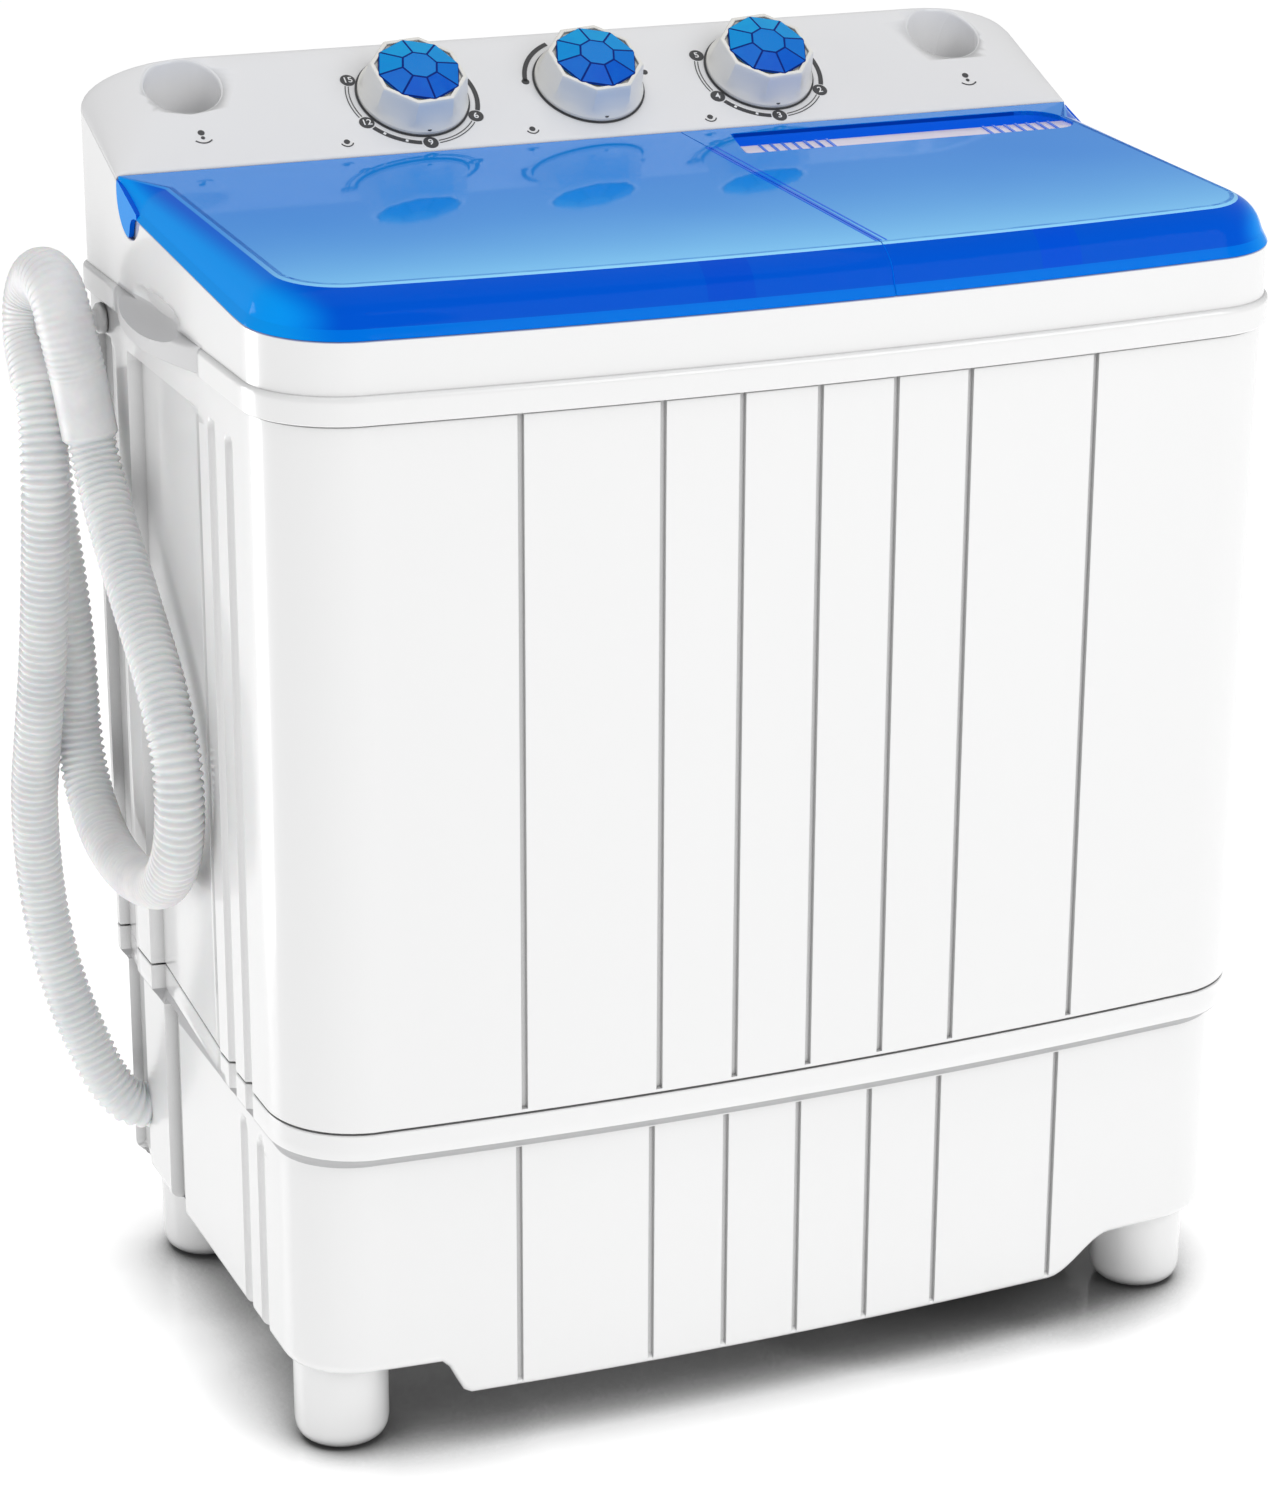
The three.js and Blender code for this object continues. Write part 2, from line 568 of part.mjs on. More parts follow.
// The flat strip over the hinge, from the seam out to the side, or the hollow under it.
function hingeStrip(seam, outside, front, back, wall) {
  const low = wall > 0 ? 600 : lidLowerEdge(front);
  const shape = polygon([[front, low], [back, low], [back, lidTop(back) - wall], [front, lidTop(front) - wall]]);
  return prismAlongX(shape, ...ordered(seam, outside));
}

function hingeLug(x0, x1) {
  const shape = new THREE.Shape();
  shape.moveTo(HINGE_Y - 5, HINGE_Z + 5);
  shape.absarc(HINGE_Y, HINGE_Z, 5, Math.PI, 2 * Math.PI);
  shape.lineTo(HINGE_Y + 5, HINGE_Z + 5);
  return prismAlongX(shape, x0, x1);
}

function lidGeometry(side) {
  const seam = LID_SEAM + side * 0.4;
  const outer = lidSolid(side, seam, 0, 0, LID_BACK);
  const inner = lidSolid(side, seam + side * LID_WALL, LID_WALL, LID_WALL, LID_BACK + 10);
  const lugX = side < 0 ? [29.5, 32.5] : [49.5, 52.5];
  const lug = hingeLug(...lugX);
  const middlePin = side < 0 ? rodAlongX(HINGE_RADIUS, 32, 40, HINGE_Y, HINGE_Z)
    : rodAlongX(HINGE_RADIUS, 42, 50, HINGE_Y, HINGE_Z);
  const endPin = rodAlongX(HINGE_RADIUS, ...ordered(side * 280.5, side * 286), HINGE_Y, HINGE_Z);
  // Behind the rim's slope the top runs out flat to the side, over the hinge.
  const flatFront = 66;
  const flat = hingeStrip(seam, side * LID_HALF, flatFront, LID_BACK, 0);
  const underFlat = hingeStrip(seam, side * (LID_HALF - LID_WALL), flatFront + LID_WALL, LID_BACK + 10, LID_WALL);
  // The seam wall stops short of the hinge bearing.
  const atPost = box(...ordered(seam - side * OVERCUT, seam + side * 12), 60, LID_BACK + OVERCUT, 600, 654);
  const shell = cut(join(outer, flat), inner, underFlat, atPost);
  return join(shell, hookGeometry(side), lug, middlePin, endPin);
}

// The recess in the spin lid: its left end slants, and its right end is rounded.
const GRIP = { left: 55.5, slant: 10, right: 267, front: 40, back: 87, floor: 647, frontRadius: 16, backRadius: 20 };
const STRIP_DEPTH = 24;

function gripShape(margin) {
  const { left, slant, right, front, back, frontRadius, backRadius } = GRIP;
  const shape = new THREE.Shape();
  shape.moveTo(left - margin, front - margin);
  shape.lineTo(right - frontRadius, front - margin);
  shape.absarc(right - frontRadius, front + frontRadius, frontRadius + margin, -Math.PI / 2, 0);
  shape.absarc(right - backRadius, back - backRadius, backRadius + margin, 0, Math.PI / 2);
  shape.lineTo(left + slant - margin, back + margin);
  return shape;
}

function stripShape() {
  const { left, slant, right, front, back, frontRadius } = GRIP;
  const behind = front + STRIP_DEPTH;
  const leftGap = 0.6;
  const shape = new THREE.Shape();
  shape.moveTo(left + leftGap, front + GAP);
  shape.lineTo(right - frontRadius, front + GAP);
  shape.absarc(right - frontRadius, front + frontRadius, frontRadius - GAP, -Math.PI / 2, 0);
  shape.lineTo(right - GAP, behind);
  shape.lineTo(left + leftGap + slant * STRIP_DEPTH / (back - front), behind);
  return shape;
}

function addLids() {
  place(washer, 'wash_lid', lidGeometry(-1), BLUE_CLEAR);
  const { left, right, front, floor } = GRIP;
  const trayWall = 2;
  const tray = prism(gripShape(trayWall), floor - trayWall, 654);
  const pocket = prism(gripShape(0), floor, 670);
  place(washer, 'spin_lid', cut(join(lidGeometry(1), tray), pocket), BLUE_CLEAR);
  const strip = prism(stripShape(), floor + GAP, lidTop(front) - 1);
  const ribs = [];
  for (const start of [left + 12.5, right - 58]) {
    for (let i = 0; i < 7; i += 1) {
      const x = start + i * 7;
      ribs.push(box(x, x + 1.4, front - 5, front + STRIP_DEPTH + 5, lidTop(front) - 2.4, 670));
    }
  }
  place(washer, 'spin_lid_strip', cut(strip, ...ribs), PALE_STRIP);
}

// ---------------------------------------------------------------- wash drive
function addPulsator() {
  const top = WASH_TUB.bottom + TUB_WALL;
  const dish = turned([[0, top + 2], [84, top + 2], [86, top + 5], [60, top + 10], [24, top + 22],
    [0, top + 24]], 28);
  const vanes = [0, 1, 2, 3].map((i) => {
    const vane = box(14, 78, -5, 5, top + 4, top + 21);
    return vane.rotateZ(i * Math.PI / 2);
  });
  const socket = rod(SHAFT_RADIUS + GAP, top - 5, top + 15, 12);
  place(washer, 'pulsator', cut(join(dish, ...vanes), socket), PULSATOR_GREY, WASH_X, TUB_Y);
  place(washer, 'pulsator_shaft', rod(SHAFT_RADIUS, 158, top + 14, 12), STEEL, WASH_X, TUB_Y);
  place(washer, 'pulsator_pulley', pulley(PULSATOR_PULLEY, 7), BLACK_PLASTIC, WASH_X, TUB_Y);
}

// A belt pulley with its groove's middle at PULLEY_Z and a bore for the shaft.
function pulley(groove, bore) {
  const rim = groove + 6;
  const inner = SHAFT_RADIUS + GAP;
  const profile = [[inner, PULLEY_Z - bore], [rim, PULLEY_Z - 7], [rim, PULLEY_Z - 5], [groove, PULLEY_Z - 4.6],
    [groove, PULLEY_Z + 4.6], [rim, PULLEY_Z + 5], [rim, PULLEY_Z + 7], [inner, PULLEY_Z + bore]];
  return turned([...profile, profile[0]], 18);
}

function addBearingHousing() {
  const profile = [[BEARING_RADIUS, 178], [20, 178], [20, 222], [34, 226], [34, WASH_TUB.bottom - GAP],
    [BEARING_RADIUS, WASH_TUB.bottom - GAP], [BEARING_RADIUS, 178]];
  place(washer, 'pulsator_bearing', turned(profile, 20), ALUMINIUM, WASH_X, TUB_Y);
}

function addWashMotor() {
  const { x, y, radius, bottom, top } = WASH_MOTOR;
  const body = turned([[0, bottom], [radius, bottom], [radius, top - 8], [radius - 12, top], [7.5, top],
    [7.5, top - 14], [0, top - 14]], 24);
  place(washer, 'wash_motor', body, MOTOR_PAINT, x, y);
  place(washer, 'wash_motor_shaft', rod(SHAFT_RADIUS, top - 13, PULLEY_Z + 9, 12), STEEL, x, y);
  place(washer, 'wash_motor_pulley', pulley(MOTOR_PULLEY, 7), ALUMINIUM, x, y);
}

// Outline of a belt round the two pulleys, offset from their grooves.
function beltPath(kind, offset) {
  const from = new THREE.Vector2(WASH_X, TUB_Y);
  const to = new THREE.Vector2(WASH_MOTOR.x, WASH_MOTOR.y);
  const span = to.clone().sub(from);
  const heading = span.angle();
  const spread = Math.acos((PULSATOR_PULLEY - MOTOR_PULLEY) / span.length());
  const path = new kind();
  path.absarc(to.x, to.y, MOTOR_PULLEY + offset, heading - spread, heading + spread);
  path.absarc(from.x, from.y, PULSATOR_PULLEY + offset, heading + spread, heading - spread + 2 * Math.PI);
  return path;
}

function addBelt() {
  const shape = beltPath(THREE.Shape, 4.6);
  shape.holes.push(beltPath(THREE.Path, 0.6));
  place(washer, 'drive_belt', prism(shape, PULLEY_Z - 4, PULLEY_Z + 4, 8), BLACK_RUBBER);
}

// ---------------------------------------------------------------- spin drive
function addSpinBasket() {
  const bottom = 318;
  const top = 572;
  const wall = 2;
  const profile = [[SHAFT_RADIUS + GAP, bottom], [88, bottom], [98, bottom + 10], [98, top], [84, top + 4],
    [84, top + 2], [96, top - 3], [96, bottom + 11], [87, bottom + wall], [26, bottom + wall],
    [14, bottom + 34], [SHAFT_RADIUS + GAP, bottom + 34]];
  const shell = turned([...profile, profile[0]], 24);
  const slots = [];
  const columns = 4;
  for (const z of [370, 450]) {
    for (let i = 0; i < columns; i += 1) {
      slots.push(box(-110, 110, -2.5, 2.5, z, z + 50).rotateZ(i * Math.PI / columns));
    }
  }
  place(washer, 'spin_basket', cut(shell, ...slots), PULSATOR_GREY, SPIN_X, TUB_Y);
  place(washer, 'spin_shaft', rod(SHAFT_RADIUS, SPIN_MOTOR.top - 12, bottom + 33, 12), STEEL, SPIN_X, TUB_Y);
  const drum = [[SHAFT_RADIUS + GAP, DRUM.bottom], [DRUM.radius, DRUM.bottom], [DRUM.radius, DRUM.top],
    [DRUM.radius - 3, DRUM.top], [DRUM.radius - 3, DRUM.bottom + 4], [SHAFT_RADIUS + GAP, DRUM.bottom + 4]];
  place(washer, 'brake_drum', turned([...drum, drum[0]], 28), ALUMINIUM, SPIN_X, TUB_Y);
}

function addSpinBellows() {
  const inner = 9;
  const top = SPIN_TUB.bottom - GAP;
  const profile = [[inner, top - 30], [12, top - 30], [12, top - 24], [19, top - 20], [15, top - 15],
    [22, top - 10], [18, top - 5], [26, top - 3], [26, top], [16, top], [15.5, top - 4], [12, top - 14],
    [inner, top - 22]];
  place(washer, 'spin_bellows', turned([...profile, profile[0]], 14), BLACK_RUBBER, SPIN_X, TUB_Y);
}

function addSpinMotor() {
  const { radius, bottom, top } = SPIN_MOTOR;
  const body = turned([[0, bottom + 6], [radius, bottom + 6], [radius, top - 8], [radius - 12, top],
    [7.5, top], [7.5, top - 14], [0, top - 14]], 24);
  const plate = rod(78, bottom, bottom + 7, 24);
  const reach = new THREE.Vector2(BRAKE_PIVOT.x - SPIN_X, BRAKE_PIVOT.y - TUB_Y);
  const arm = box(30, reach.length() + 8, -7, 7, top - 12, top - 4).rotateZ(reach.angle());
  const post = rod(4, top - 8, 226, 12).translate(reach.x, reach.y, 0);
  place(washer, 'spin_motor', join(body, plate, arm, post), MOTOR_PAINT, SPIN_X, TUB_Y);
  const mount = [[0, FLOOR_TOP + GAP], [13, FLOOR_TOP + GAP], [9, 68], [13, 73], [9, 78], [13, 84],
    [11, bottom - GAP], [0, bottom - GAP]];
  for (let i = 0; i < 3; i += 1) {
    const angle = Math.PI / 2 + i * 2 * Math.PI / 3;
    place(washer, `spin_motor_mount_${i + 1}`, turned(mount, 10), BLACK_RUBBER,
      SPIN_X + MOUNT_CIRCLE * Math.cos(angle), TUB_Y + MOUNT_CIRCLE * Math.sin(angle));
  }
}

function addBrake() {
  const { x, y } = BRAKE_PIVOT;
  const z0 = 205;
  const z1 = 217;
  const lever = join(box(-5, 5, 0, 82, z0, z1), rod(9, z0, z1, 16));
  place(washer, 'brake_lever', cut(lever, rod(4.6, z0 - 5, z1 + 5, 12)), STEEL, x, y);
  place(washer, 'brake_shoe', box(-8.2, -5 - GAP, TUB_Y - y - 13, TUB_Y - y + 13, z0, z1), BLACK_RUBBER, x, y);
  const cable = [[70, 93, 632], [70, 96, 590], [88, 112, 520], [92, 122, 320], [150, 100, 262],
    [219, 40, 225], [213, -3, 219.6]];
  place(washer, 'brake_cable', tube(cable, 1.8, 0, 16, 3), BLACK_PLASTIC);
}

// ---------------------------------------------------------------- drain
function addDrain() {
  const { x, y, bottom, top } = VALVE;
  const body = cut(rod(22, bottom, top, 20), rod(14.6, bottom + 4, top + OVERCUT, 16));
  place(washer, 'drain_valve', body, SATIN_WHITE, x, y);
  place(washer, 'drain_plunger', cut(rod(13.6, bottom + 5, top - 16, 16), rod(3 + GAP, bottom + 20, top, 10)),
    BLACK_RUBBER, x, y);
  place(washer, 'drain_pull_rod', rod(3, bottom + 21, 640, 8), STEEL, x, y);
  const elbow = [[-60, 50, 231.7], [-60, 50, 219], [-57, 56, 211], [-46, 70, 206], [-28, 93, 206]];
  place(washer, 'wash_drain_elbow', tube(elbow, 11, 9, 9, 3), SATIN_WHITE);
  const spinTube = [[110, 30, 284.7], [110, 30, 270], [96, 46, 250], [52, 80, 222], [14, 103, 213]];
  place(washer, 'spin_drain_tube', tube(spinTube, 9, 7, 10, 3), SATIN_WHITE);
}

// The hose: from the valve through the base's left side, up, over the hook, down in a loop and back up.
function addDrainHose() {
  const path = [[-42, 116, 202], [-70, 132, 180], [-120, 142, 140], [-200, 146, 108], [-262, 144, 93],
    [-288, 141, 96], [-301, 146, 110], [-311, 155, 135], [-319, 161, 161], [-326, 168, 195], [-330, 172, 235],
    [-333, 165, 285], [-332, 153, 330], [-330, 143, 375], [-329, 132, 430], [-328, 125, 490], [-325, 140, 535],
    [-323, 161, 562], [-321, 163, 580], [-319.5, 153, 593], [-318.5, 139, 597], [-317, 124, 591],
    [-315, 115, 574], [-310, 112, 545], [-305, 104, 503], [-303.5, 76, 468], [-303, 36, 435], [-303, -6, 400],
    [-303, -28, 365], [-303, -26, 325], [-303, 0, 292], [-303, 38, 276], [-304, 82, 270], [-304.5, 122, 276],
    [-305, 150, 295], [-305.5, 164, 325], [-306, 167, 360], [-308, 168, 400], [-312, 172, 450],
    [-314, 178, 500], [-314, 180, 530]];
  place(washer, 'drain_hose', tube(path, HOSE_RADIUS, HOSE_BORE, 84, 3), WHITE);
}

function addHoseHook() {
  const arm = rodAlongX(6, -322, -292, 140, 571, 10);
  const tip = rodAlongX(8, -325, -321, 140, 571, 10);
  const foot = rodAlongX(10, -292.5, -287.2, 140, 571, 10);
  place(washer, 'hose_hook', join(arm, tip, foot), WHITE);
}

// ---------------------------------------------------------------- electrics
function addElectrics() {
  place(washer, 'motor_capacitor', turned([[0, 0], [17, 0], [17, 46], [12, 50], [0, 50]], 16), ALUMINIUM,
    30, 60, FLOOR_TOP + GAP);
  const cord = [[205, 150, 110], [205, 172, 110], [205, 184, 98], [214, 186, 72], [216, 187, 44],
    [194, 188, 27], [166, 188, 32], [151, 187, 58], [148, 187, 90], [150, 187, 118]];
  place(washer, 'power_cord', tube(cord, 3.6, 0, 32, 3), BLACK_PLASTIC);
  const plug = join(box(-11, 11, -8, 8, 0, 24), box(-7, -5.4, -3, 3, 20, 42), box(5.4, 7, -3, 3, 20, 42));
  place(washer, 'power_plug', plug, BLACK_PLASTIC, 150, 187, 119.5);
}

function addLintFilter() {
  const back = WASH_TUB.back - TUB_WALL - GAP;
  const frame = box(-176, -56, back - 6, back, 430, 560);
  const window1 = box(-170, -62, back - 7, back - 2, 436, 554);
  const bars = [];
  for (let x = -152; x < -70; x += 18) bars.push(box(x, x + 3, back - 4, back - 1, 432, 558));
  place(washer, 'lint_filter', join(cut(frame, window1), ...bars), PULSATOR_GREY);
}

addBase();
addMotorGuard();
addFeet();
addCabinet();
addServiceCover();
addTubBody();
addTopFrame();
addControlPanel();
addInletBowls();
addKnobs();
addLidSwitch();
addLids();
addPulsator();
addBearingHousing();
addWashMotor();
addBelt();
addSpinBasket();
addSpinBellows();
addSpinMotor();
addBrake();
addDrain();
addDrainHose();
addHoseHook();
addElectrics();
addLintFilter();

export default washer;
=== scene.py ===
# Looks for the twin tub washer. Shapes are worked out in millimetres about the middle of the cabinet
# (X right, Y back, Z up) and moved into the shared frame, in metres, when each piece is made.
import math

import bmesh
import bpy
import numpy as np
from mathutils import Matrix, Vector


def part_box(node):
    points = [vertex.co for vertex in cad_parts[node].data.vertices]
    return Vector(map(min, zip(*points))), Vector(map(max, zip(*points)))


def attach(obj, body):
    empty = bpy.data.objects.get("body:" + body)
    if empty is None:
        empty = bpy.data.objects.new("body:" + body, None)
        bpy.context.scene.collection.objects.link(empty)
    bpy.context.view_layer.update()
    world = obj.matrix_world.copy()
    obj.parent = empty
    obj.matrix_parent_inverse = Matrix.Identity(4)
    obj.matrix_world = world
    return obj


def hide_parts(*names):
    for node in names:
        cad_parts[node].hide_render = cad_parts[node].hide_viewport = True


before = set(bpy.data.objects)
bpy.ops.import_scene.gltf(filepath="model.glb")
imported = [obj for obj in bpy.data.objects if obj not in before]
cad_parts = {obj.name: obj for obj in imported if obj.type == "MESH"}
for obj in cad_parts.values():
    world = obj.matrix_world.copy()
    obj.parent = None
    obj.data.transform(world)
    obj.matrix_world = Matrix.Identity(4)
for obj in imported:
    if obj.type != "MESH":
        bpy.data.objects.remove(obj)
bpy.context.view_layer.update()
scene = bpy.context.scene

# ---------------------------------------------------------------- driving sizes, from the frame
MM = 0.001
cabinet_low, cabinet_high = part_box("cabinet")
band_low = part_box("top_frame")[0]
BODY_HALF = (cabinet_high.x - cabinet_low.x) / 2 / MM
BODY_BACK = 176.0
BODY_FRONT = -176.0
SHIFT = np.array([(cabinet_low.x + cabinet_high.x) / 2 / MM, cabinet_high.y / MM - BODY_BACK, 0.0])
SEAM = cabinet_low.z / MM
CABINET_TOP = cabinet_high.z / MM
BAND_BOTTOM = band_low.z / MM
BAND_PROUD = 3.5
DECK_TOP = 606.0
FOOT_TOP = 54.0

FRONT_RADIUS = 50.0
BACK_RADIUS = 10.0
CROWN = 10.4
CROWN_HALF = BODY_HALF - FRONT_RADIUS

HINGE_Y = 79.0
HINGE_Z = 650.0
HOOK_RADIUS = 21.9
LID_PROUD = 1.3
LID_SEAM = 41.0
LID_BACK = 99.4
LID_TOP_BACK = 657.6
LID_TOP_SLOPE = 0.0378

TILT = math.radians(33)
CONSOLE_FRONT = 100.4
CONSOLE_Z = 658.4
JOINT_START = (102.0, 655.6)        # Y and Z where the panel meets its housing at the front
JOINT_SLOPE = 28.8 / 73

WASH_AXIS = (-116.0, -33.0)
SPIN_AXIS = (157.0, -33.0)

FRONT_GROOVES = (0.0, 43.2, 86.5, 162.0)     # each is mirrored to the left
CHANNELS = ((-85.0, 561.0), (-56.0, 562.0))  # Y of the side channels and height of their tops
RECESS = (-34.0, 98.0, 100.0, 562.0)         # front, back, low and top of the big side recess
REAR_RECESS = (127.0, 162.0, 100.0, 562.0)
BASE_SLOT = (64.0, 93.0, 45.0, 181.0)        # the same for the recesses in the base's flanks
BASE_REAR_SLOT = (134.5, 166.0, 54.0, 182.0)


# ---------------------------------------------------------------- small helpers
def smooth(t):
    t = np.clip(t, 0.0, 1.0)
    return t * t * (3 - 2 * t)


def lid_top(y):
    return LID_TOP_BACK - LID_TOP_SLOPE * (LID_BACK - y)


def lid_low(y):
    """Height of the lid's lower edge, before the hook at its back."""
    y = np.asarray(y, float)
    return 626.6 + np.where(y < -104, 0.036, 0.0847) * (y + 104)


def console_top(y):
    return CONSOLE_Z + math.tan(TILT) * (y - CONSOLE_FRONT)


def joint_height(y):
    return JOINT_START[1] + JOINT_SLOPE * (y - JOINT_START[0])


def samples(low, high, step, marks=()):
    """Even values from low to high with extra ones at marks, closer than step nowhere else."""
    even = list(np.linspace(low, high, max(2, int(math.ceil((high - low) / step)) + 1)))
    extra = [m for m in marks if low < m < high]
    kept = [e for e in even if e in (low, high) or all(abs(e - m) > 0.45 * step for m in extra)]
    return sorted(set(kept + extra))


def grid_faces(rows, columns, wrap_rows=False, wrap_columns=True):
    faces = []
    for i in range(rows if wrap_rows else rows - 1):
        upper = (i + 1) % rows
        for j in range(columns if wrap_columns else columns - 1):
            right = (j + 1) % columns
            faces.append((i * columns + j, i * columns + right, upper * columns + right, upper * columns + j))
    return faces


BOX_FACES = grid_faces(2, 4) + [(3, 2, 1, 0), (4, 5, 6, 7)]


class Solid:
    """Points, faces and a material number for each face, gathered before they become one mesh."""

    def __init__(self):
        self.points = []
        self.faces = []
        self.slots = []

    def add(self, points, faces, slot=0):
        start = len(self.points)
        self.points.extend(tuple(map(float, p)) for p in points)
        self.faces.extend(tuple(start + k for k in face) for face in faces)
        self.slots.extend([slot] * len(faces))
        return self

    def join(self, part, slot=0):
        return self.add(part.points, part.faces, slot)

    def grid(self, points, wrap_rows=False, wrap_columns=True, caps=False, slot=0):
        """points is rows by columns by 3; caps closes the first and last row with one face each."""
        points = np.asarray(points, float)
        rows, columns = points.shape[:2]
        faces = grid_faces(rows, columns, wrap_rows, wrap_columns)
        if caps:
            faces.append(tuple(range(columns))[::-1])
            faces.append(tuple((rows - 1) * columns + j for j in range(columns)))
        return self.add(points.reshape(-1, 3), faces, slot)

    def box(self, x0, x1, y0, y1, z0, z1, slot=0):
        corners = [(x, y, z) for z in (z0, z1) for x, y in ((x0, y0), (x1, y0), (x1, y1), (x0, y1))]
        return self.add(corners, BOX_FACES, slot)


def make(name, solid, materials, body="machine", replaces=(), sharp=38, merge=0.002, flat=()):
    """Turns a Solid into a piece that rides on a body. Faces whose material number is in flat stay flat."""
    mesh = bpy.data.meshes.new(name)
    world = (np.asarray(solid.points, float) + SHIFT) * MM
    mesh.from_pydata(world.tolist(), [], solid.faces)
    mesh.polygons.foreach_set("material_index", solid.slots)
    work = bmesh.new()
    work.from_mesh(mesh)
    bmesh.ops.remove_doubles(work, verts=work.verts, dist=merge * MM)
    bmesh.ops.dissolve_degenerate(work, edges=work.edges, dist=merge * MM / 2)
    bmesh.ops.recalc_face_normals(work, faces=work.faces)
    work.to_mesh(mesh)
    work.free()
    mesh.set_sharp_from_angle(angle=math.radians(sharp))
    mesh.polygons.foreach_set("use_smooth", [p.material_index not in flat for p in mesh.polygons])
    for material in materials if isinstance(materials, (list, tuple)) else [materials]:
        mesh.materials.append(material)
    obj = bpy.data.objects.new(name, mesh)
    scene.collection.objects.link(obj)
    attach(obj, body)
    if replaces:
        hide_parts(*replaces)
    return obj


def thicken(obj, thickness, offset=-1.0):
    modifier = obj.modifiers.new("wall", "SOLIDIFY")
    modifier.thickness = thickness * MM
    modifier.offset = offset
    return obj


def bevel(obj, width, segments=2, angle=40, material=-1):
    modifier = obj.modifiers.new("edge", "BEVEL")
    modifier.width = width * MM
    modifier.segments = segments
    modifier.limit_method = "ANGLE"
    modifier.angle_limit = math.radians(angle)
    modifier.material = material
    modifier.harden_normals = False
    return obj


def turned_points(profile, sides, centre=(0.0, 0.0), start=0.0):
    angles = start + np.arange(sides) * 2 * math.pi / sides
    profile = np.asarray(profile, float)
    points = np.zeros((len(profile), sides, 3))
    points[:, :, 0] = centre[0] + profile[:, :1] * np.cos(angles)
    points[:, :, 1] = centre[1] + profile[:, :1] * np.sin(angles)
    points[:, :, 2] = profile[:, 1:2]
    return points


def rounded_rectangle(left, right, front, back, radius, steps=10):
    points = []
    corners = ((right, front, -90), (right, back, 0), (left, back, 90), (left, front, 180))
    for x, y, start in corners:
        cx = x - math.copysign(radius, x - (left + right) / 2)
        cy = y - math.copysign(radius, y - (front + back) / 2)
        for k in range(steps + 1):
            a = math.radians(start + 90 * k / steps)
            points.append((cx + radius * math.cos(a), cy + radius * math.sin(a)))
    return points


def circle(cx, cy, radius, sides=64):
    return [(cx + radius * math.cos(2 * math.pi * k / sides), cy + radius * math.sin(2 * math.pi * k / sides))
            for k in range(sides)]


def smooth_path(points, spacing):
    """Points evenly spaced along a centripetal Catmull-Rom curve."""
    points = np.asarray(points, float)
    ends = np.vstack([2 * points[0] - points[1], points, 2 * points[-1] - points[-2]])
    dense = []
    for k in range(len(points) - 1):
        p0, p1, p2, p3 = ends[k:k + 4]
        d1, d2, d3 = (np.linalg.norm(b - a) ** 0.5 for a, b in ((p0, p1), (p1, p2), (p2, p3)))
        m1 = p2 - p1 + d2 * ((p1 - p0) / d1 - (p2 - p0) / (d1 + d2))
        m2 = p2 - p1 + d2 * ((p3 - p2) / d3 - (p3 - p1) / (d2 + d3))
        t = np.linspace(0, 1, 24, endpoint=False)[:, None]
        dense.append((2 * t ** 3 - 3 * t ** 2 + 1) * p1 + (t ** 3 - 2 * t ** 2 + t) * m1
                     + (-2 * t ** 3 + 3 * t ** 2) * p2 + (t ** 3 - t ** 2) * m2)
    dense = np.vstack(dense + [points[-1:]])
    length = np.concatenate([[0], np.cumsum(np.linalg.norm(np.diff(dense, axis=0), axis=1))])
    along = np.linspace(0, length[-1], int(length[-1] / spacing) + 1)
    return np.stack([np.interp(along, length, dense[:, k]) for k in range(3)], 1), along


def sweep(path, radii, sides):
    """Rings of a round tube along a path, carried along without twist."""
    tangents = np.gradient(path, axis=0)
    tangents /= np.linalg.norm(tangents, axis=1)[:, None]
    side = np.cross(tangents[0], (0.3, 0.2, 1.0))
    rings = np.zeros((len(path), sides, 3))
    angles = np.arange(sides) * 2 * math.pi / sides
    for k, (point, tangent) in enumerate(zip(path, tangents)):
        side = side - tangent * (side @ tangent)
        side /= np.linalg.norm(side)
        other = np.cross(tangent, side)
        rings[k] = point + radii[k] * (np.outer(np.cos(angles), side) + np.outer(np.sin(angles), other))
    return rings


def flat_shape(outer, holes, z0, z1, round_edge=0.0):
    """A Solid of a flat shape with holes, from z0 up to z1, with its edges rounded."""
    curve = bpy.data.curves.new("shape", "CURVE")
    curve.dimensions = "2D"
    curve.fill_mode = "BOTH"
    for loop in [outer, *holes]:
        spline = curve.splines.new("POLY")
        spline.points.add(len(loop) - 1)
        for point, (x, y) in zip(spline.points, loop):
            point.co = (x, y, 0, 1)
        spline.use_cyclic_u = True
    curve.extrude = (z1 - z0) / 2 - round_edge
    curve.bevel_depth = round_edge
    curve.bevel_resolution = 2
    curve.offset = -round_edge
    return solid_from_curve(curve, (z0 + z1) / 2)


def solid_from_curve(curve, z):
    obj = bpy.data.objects.new("shape", curve)
    scene.collection.objects.link(obj)
    bpy.context.view_layer.update()
    mesh = bpy.data.meshes.new_from_object(obj.evaluated_get(bpy.context.evaluated_depsgraph_get()))
    points = [(v.co.x, v.co.y, v.co.z + z) for v in mesh.vertices]
    solid = Solid().add(points, [tuple(p.vertices) for p in mesh.polygons])
    bpy.data.objects.remove(obj)
    bpy.data.meshes.remove(mesh)
    return solid


def on_face(points, x=0.0, t=0.0, turn=0.0):
    """Moves points from a place on the sloping console, at x and t up the slope, into the machine."""
    points = np.asarray(points, float)
    c, s = math.cos(turn), math.sin(turn)
    u = x + points[..., 0] * c - points[..., 1] * s
    v = t + points[..., 0] * s + points[..., 1] * c
    w = points[..., 2]
    return np.stack([u, CONSOLE_FRONT + v * math.cos(TILT) - w * math.sin(TILT),
                     CONSOLE_Z + v * math.sin(TILT) + w * math.cos(TILT)], -1)


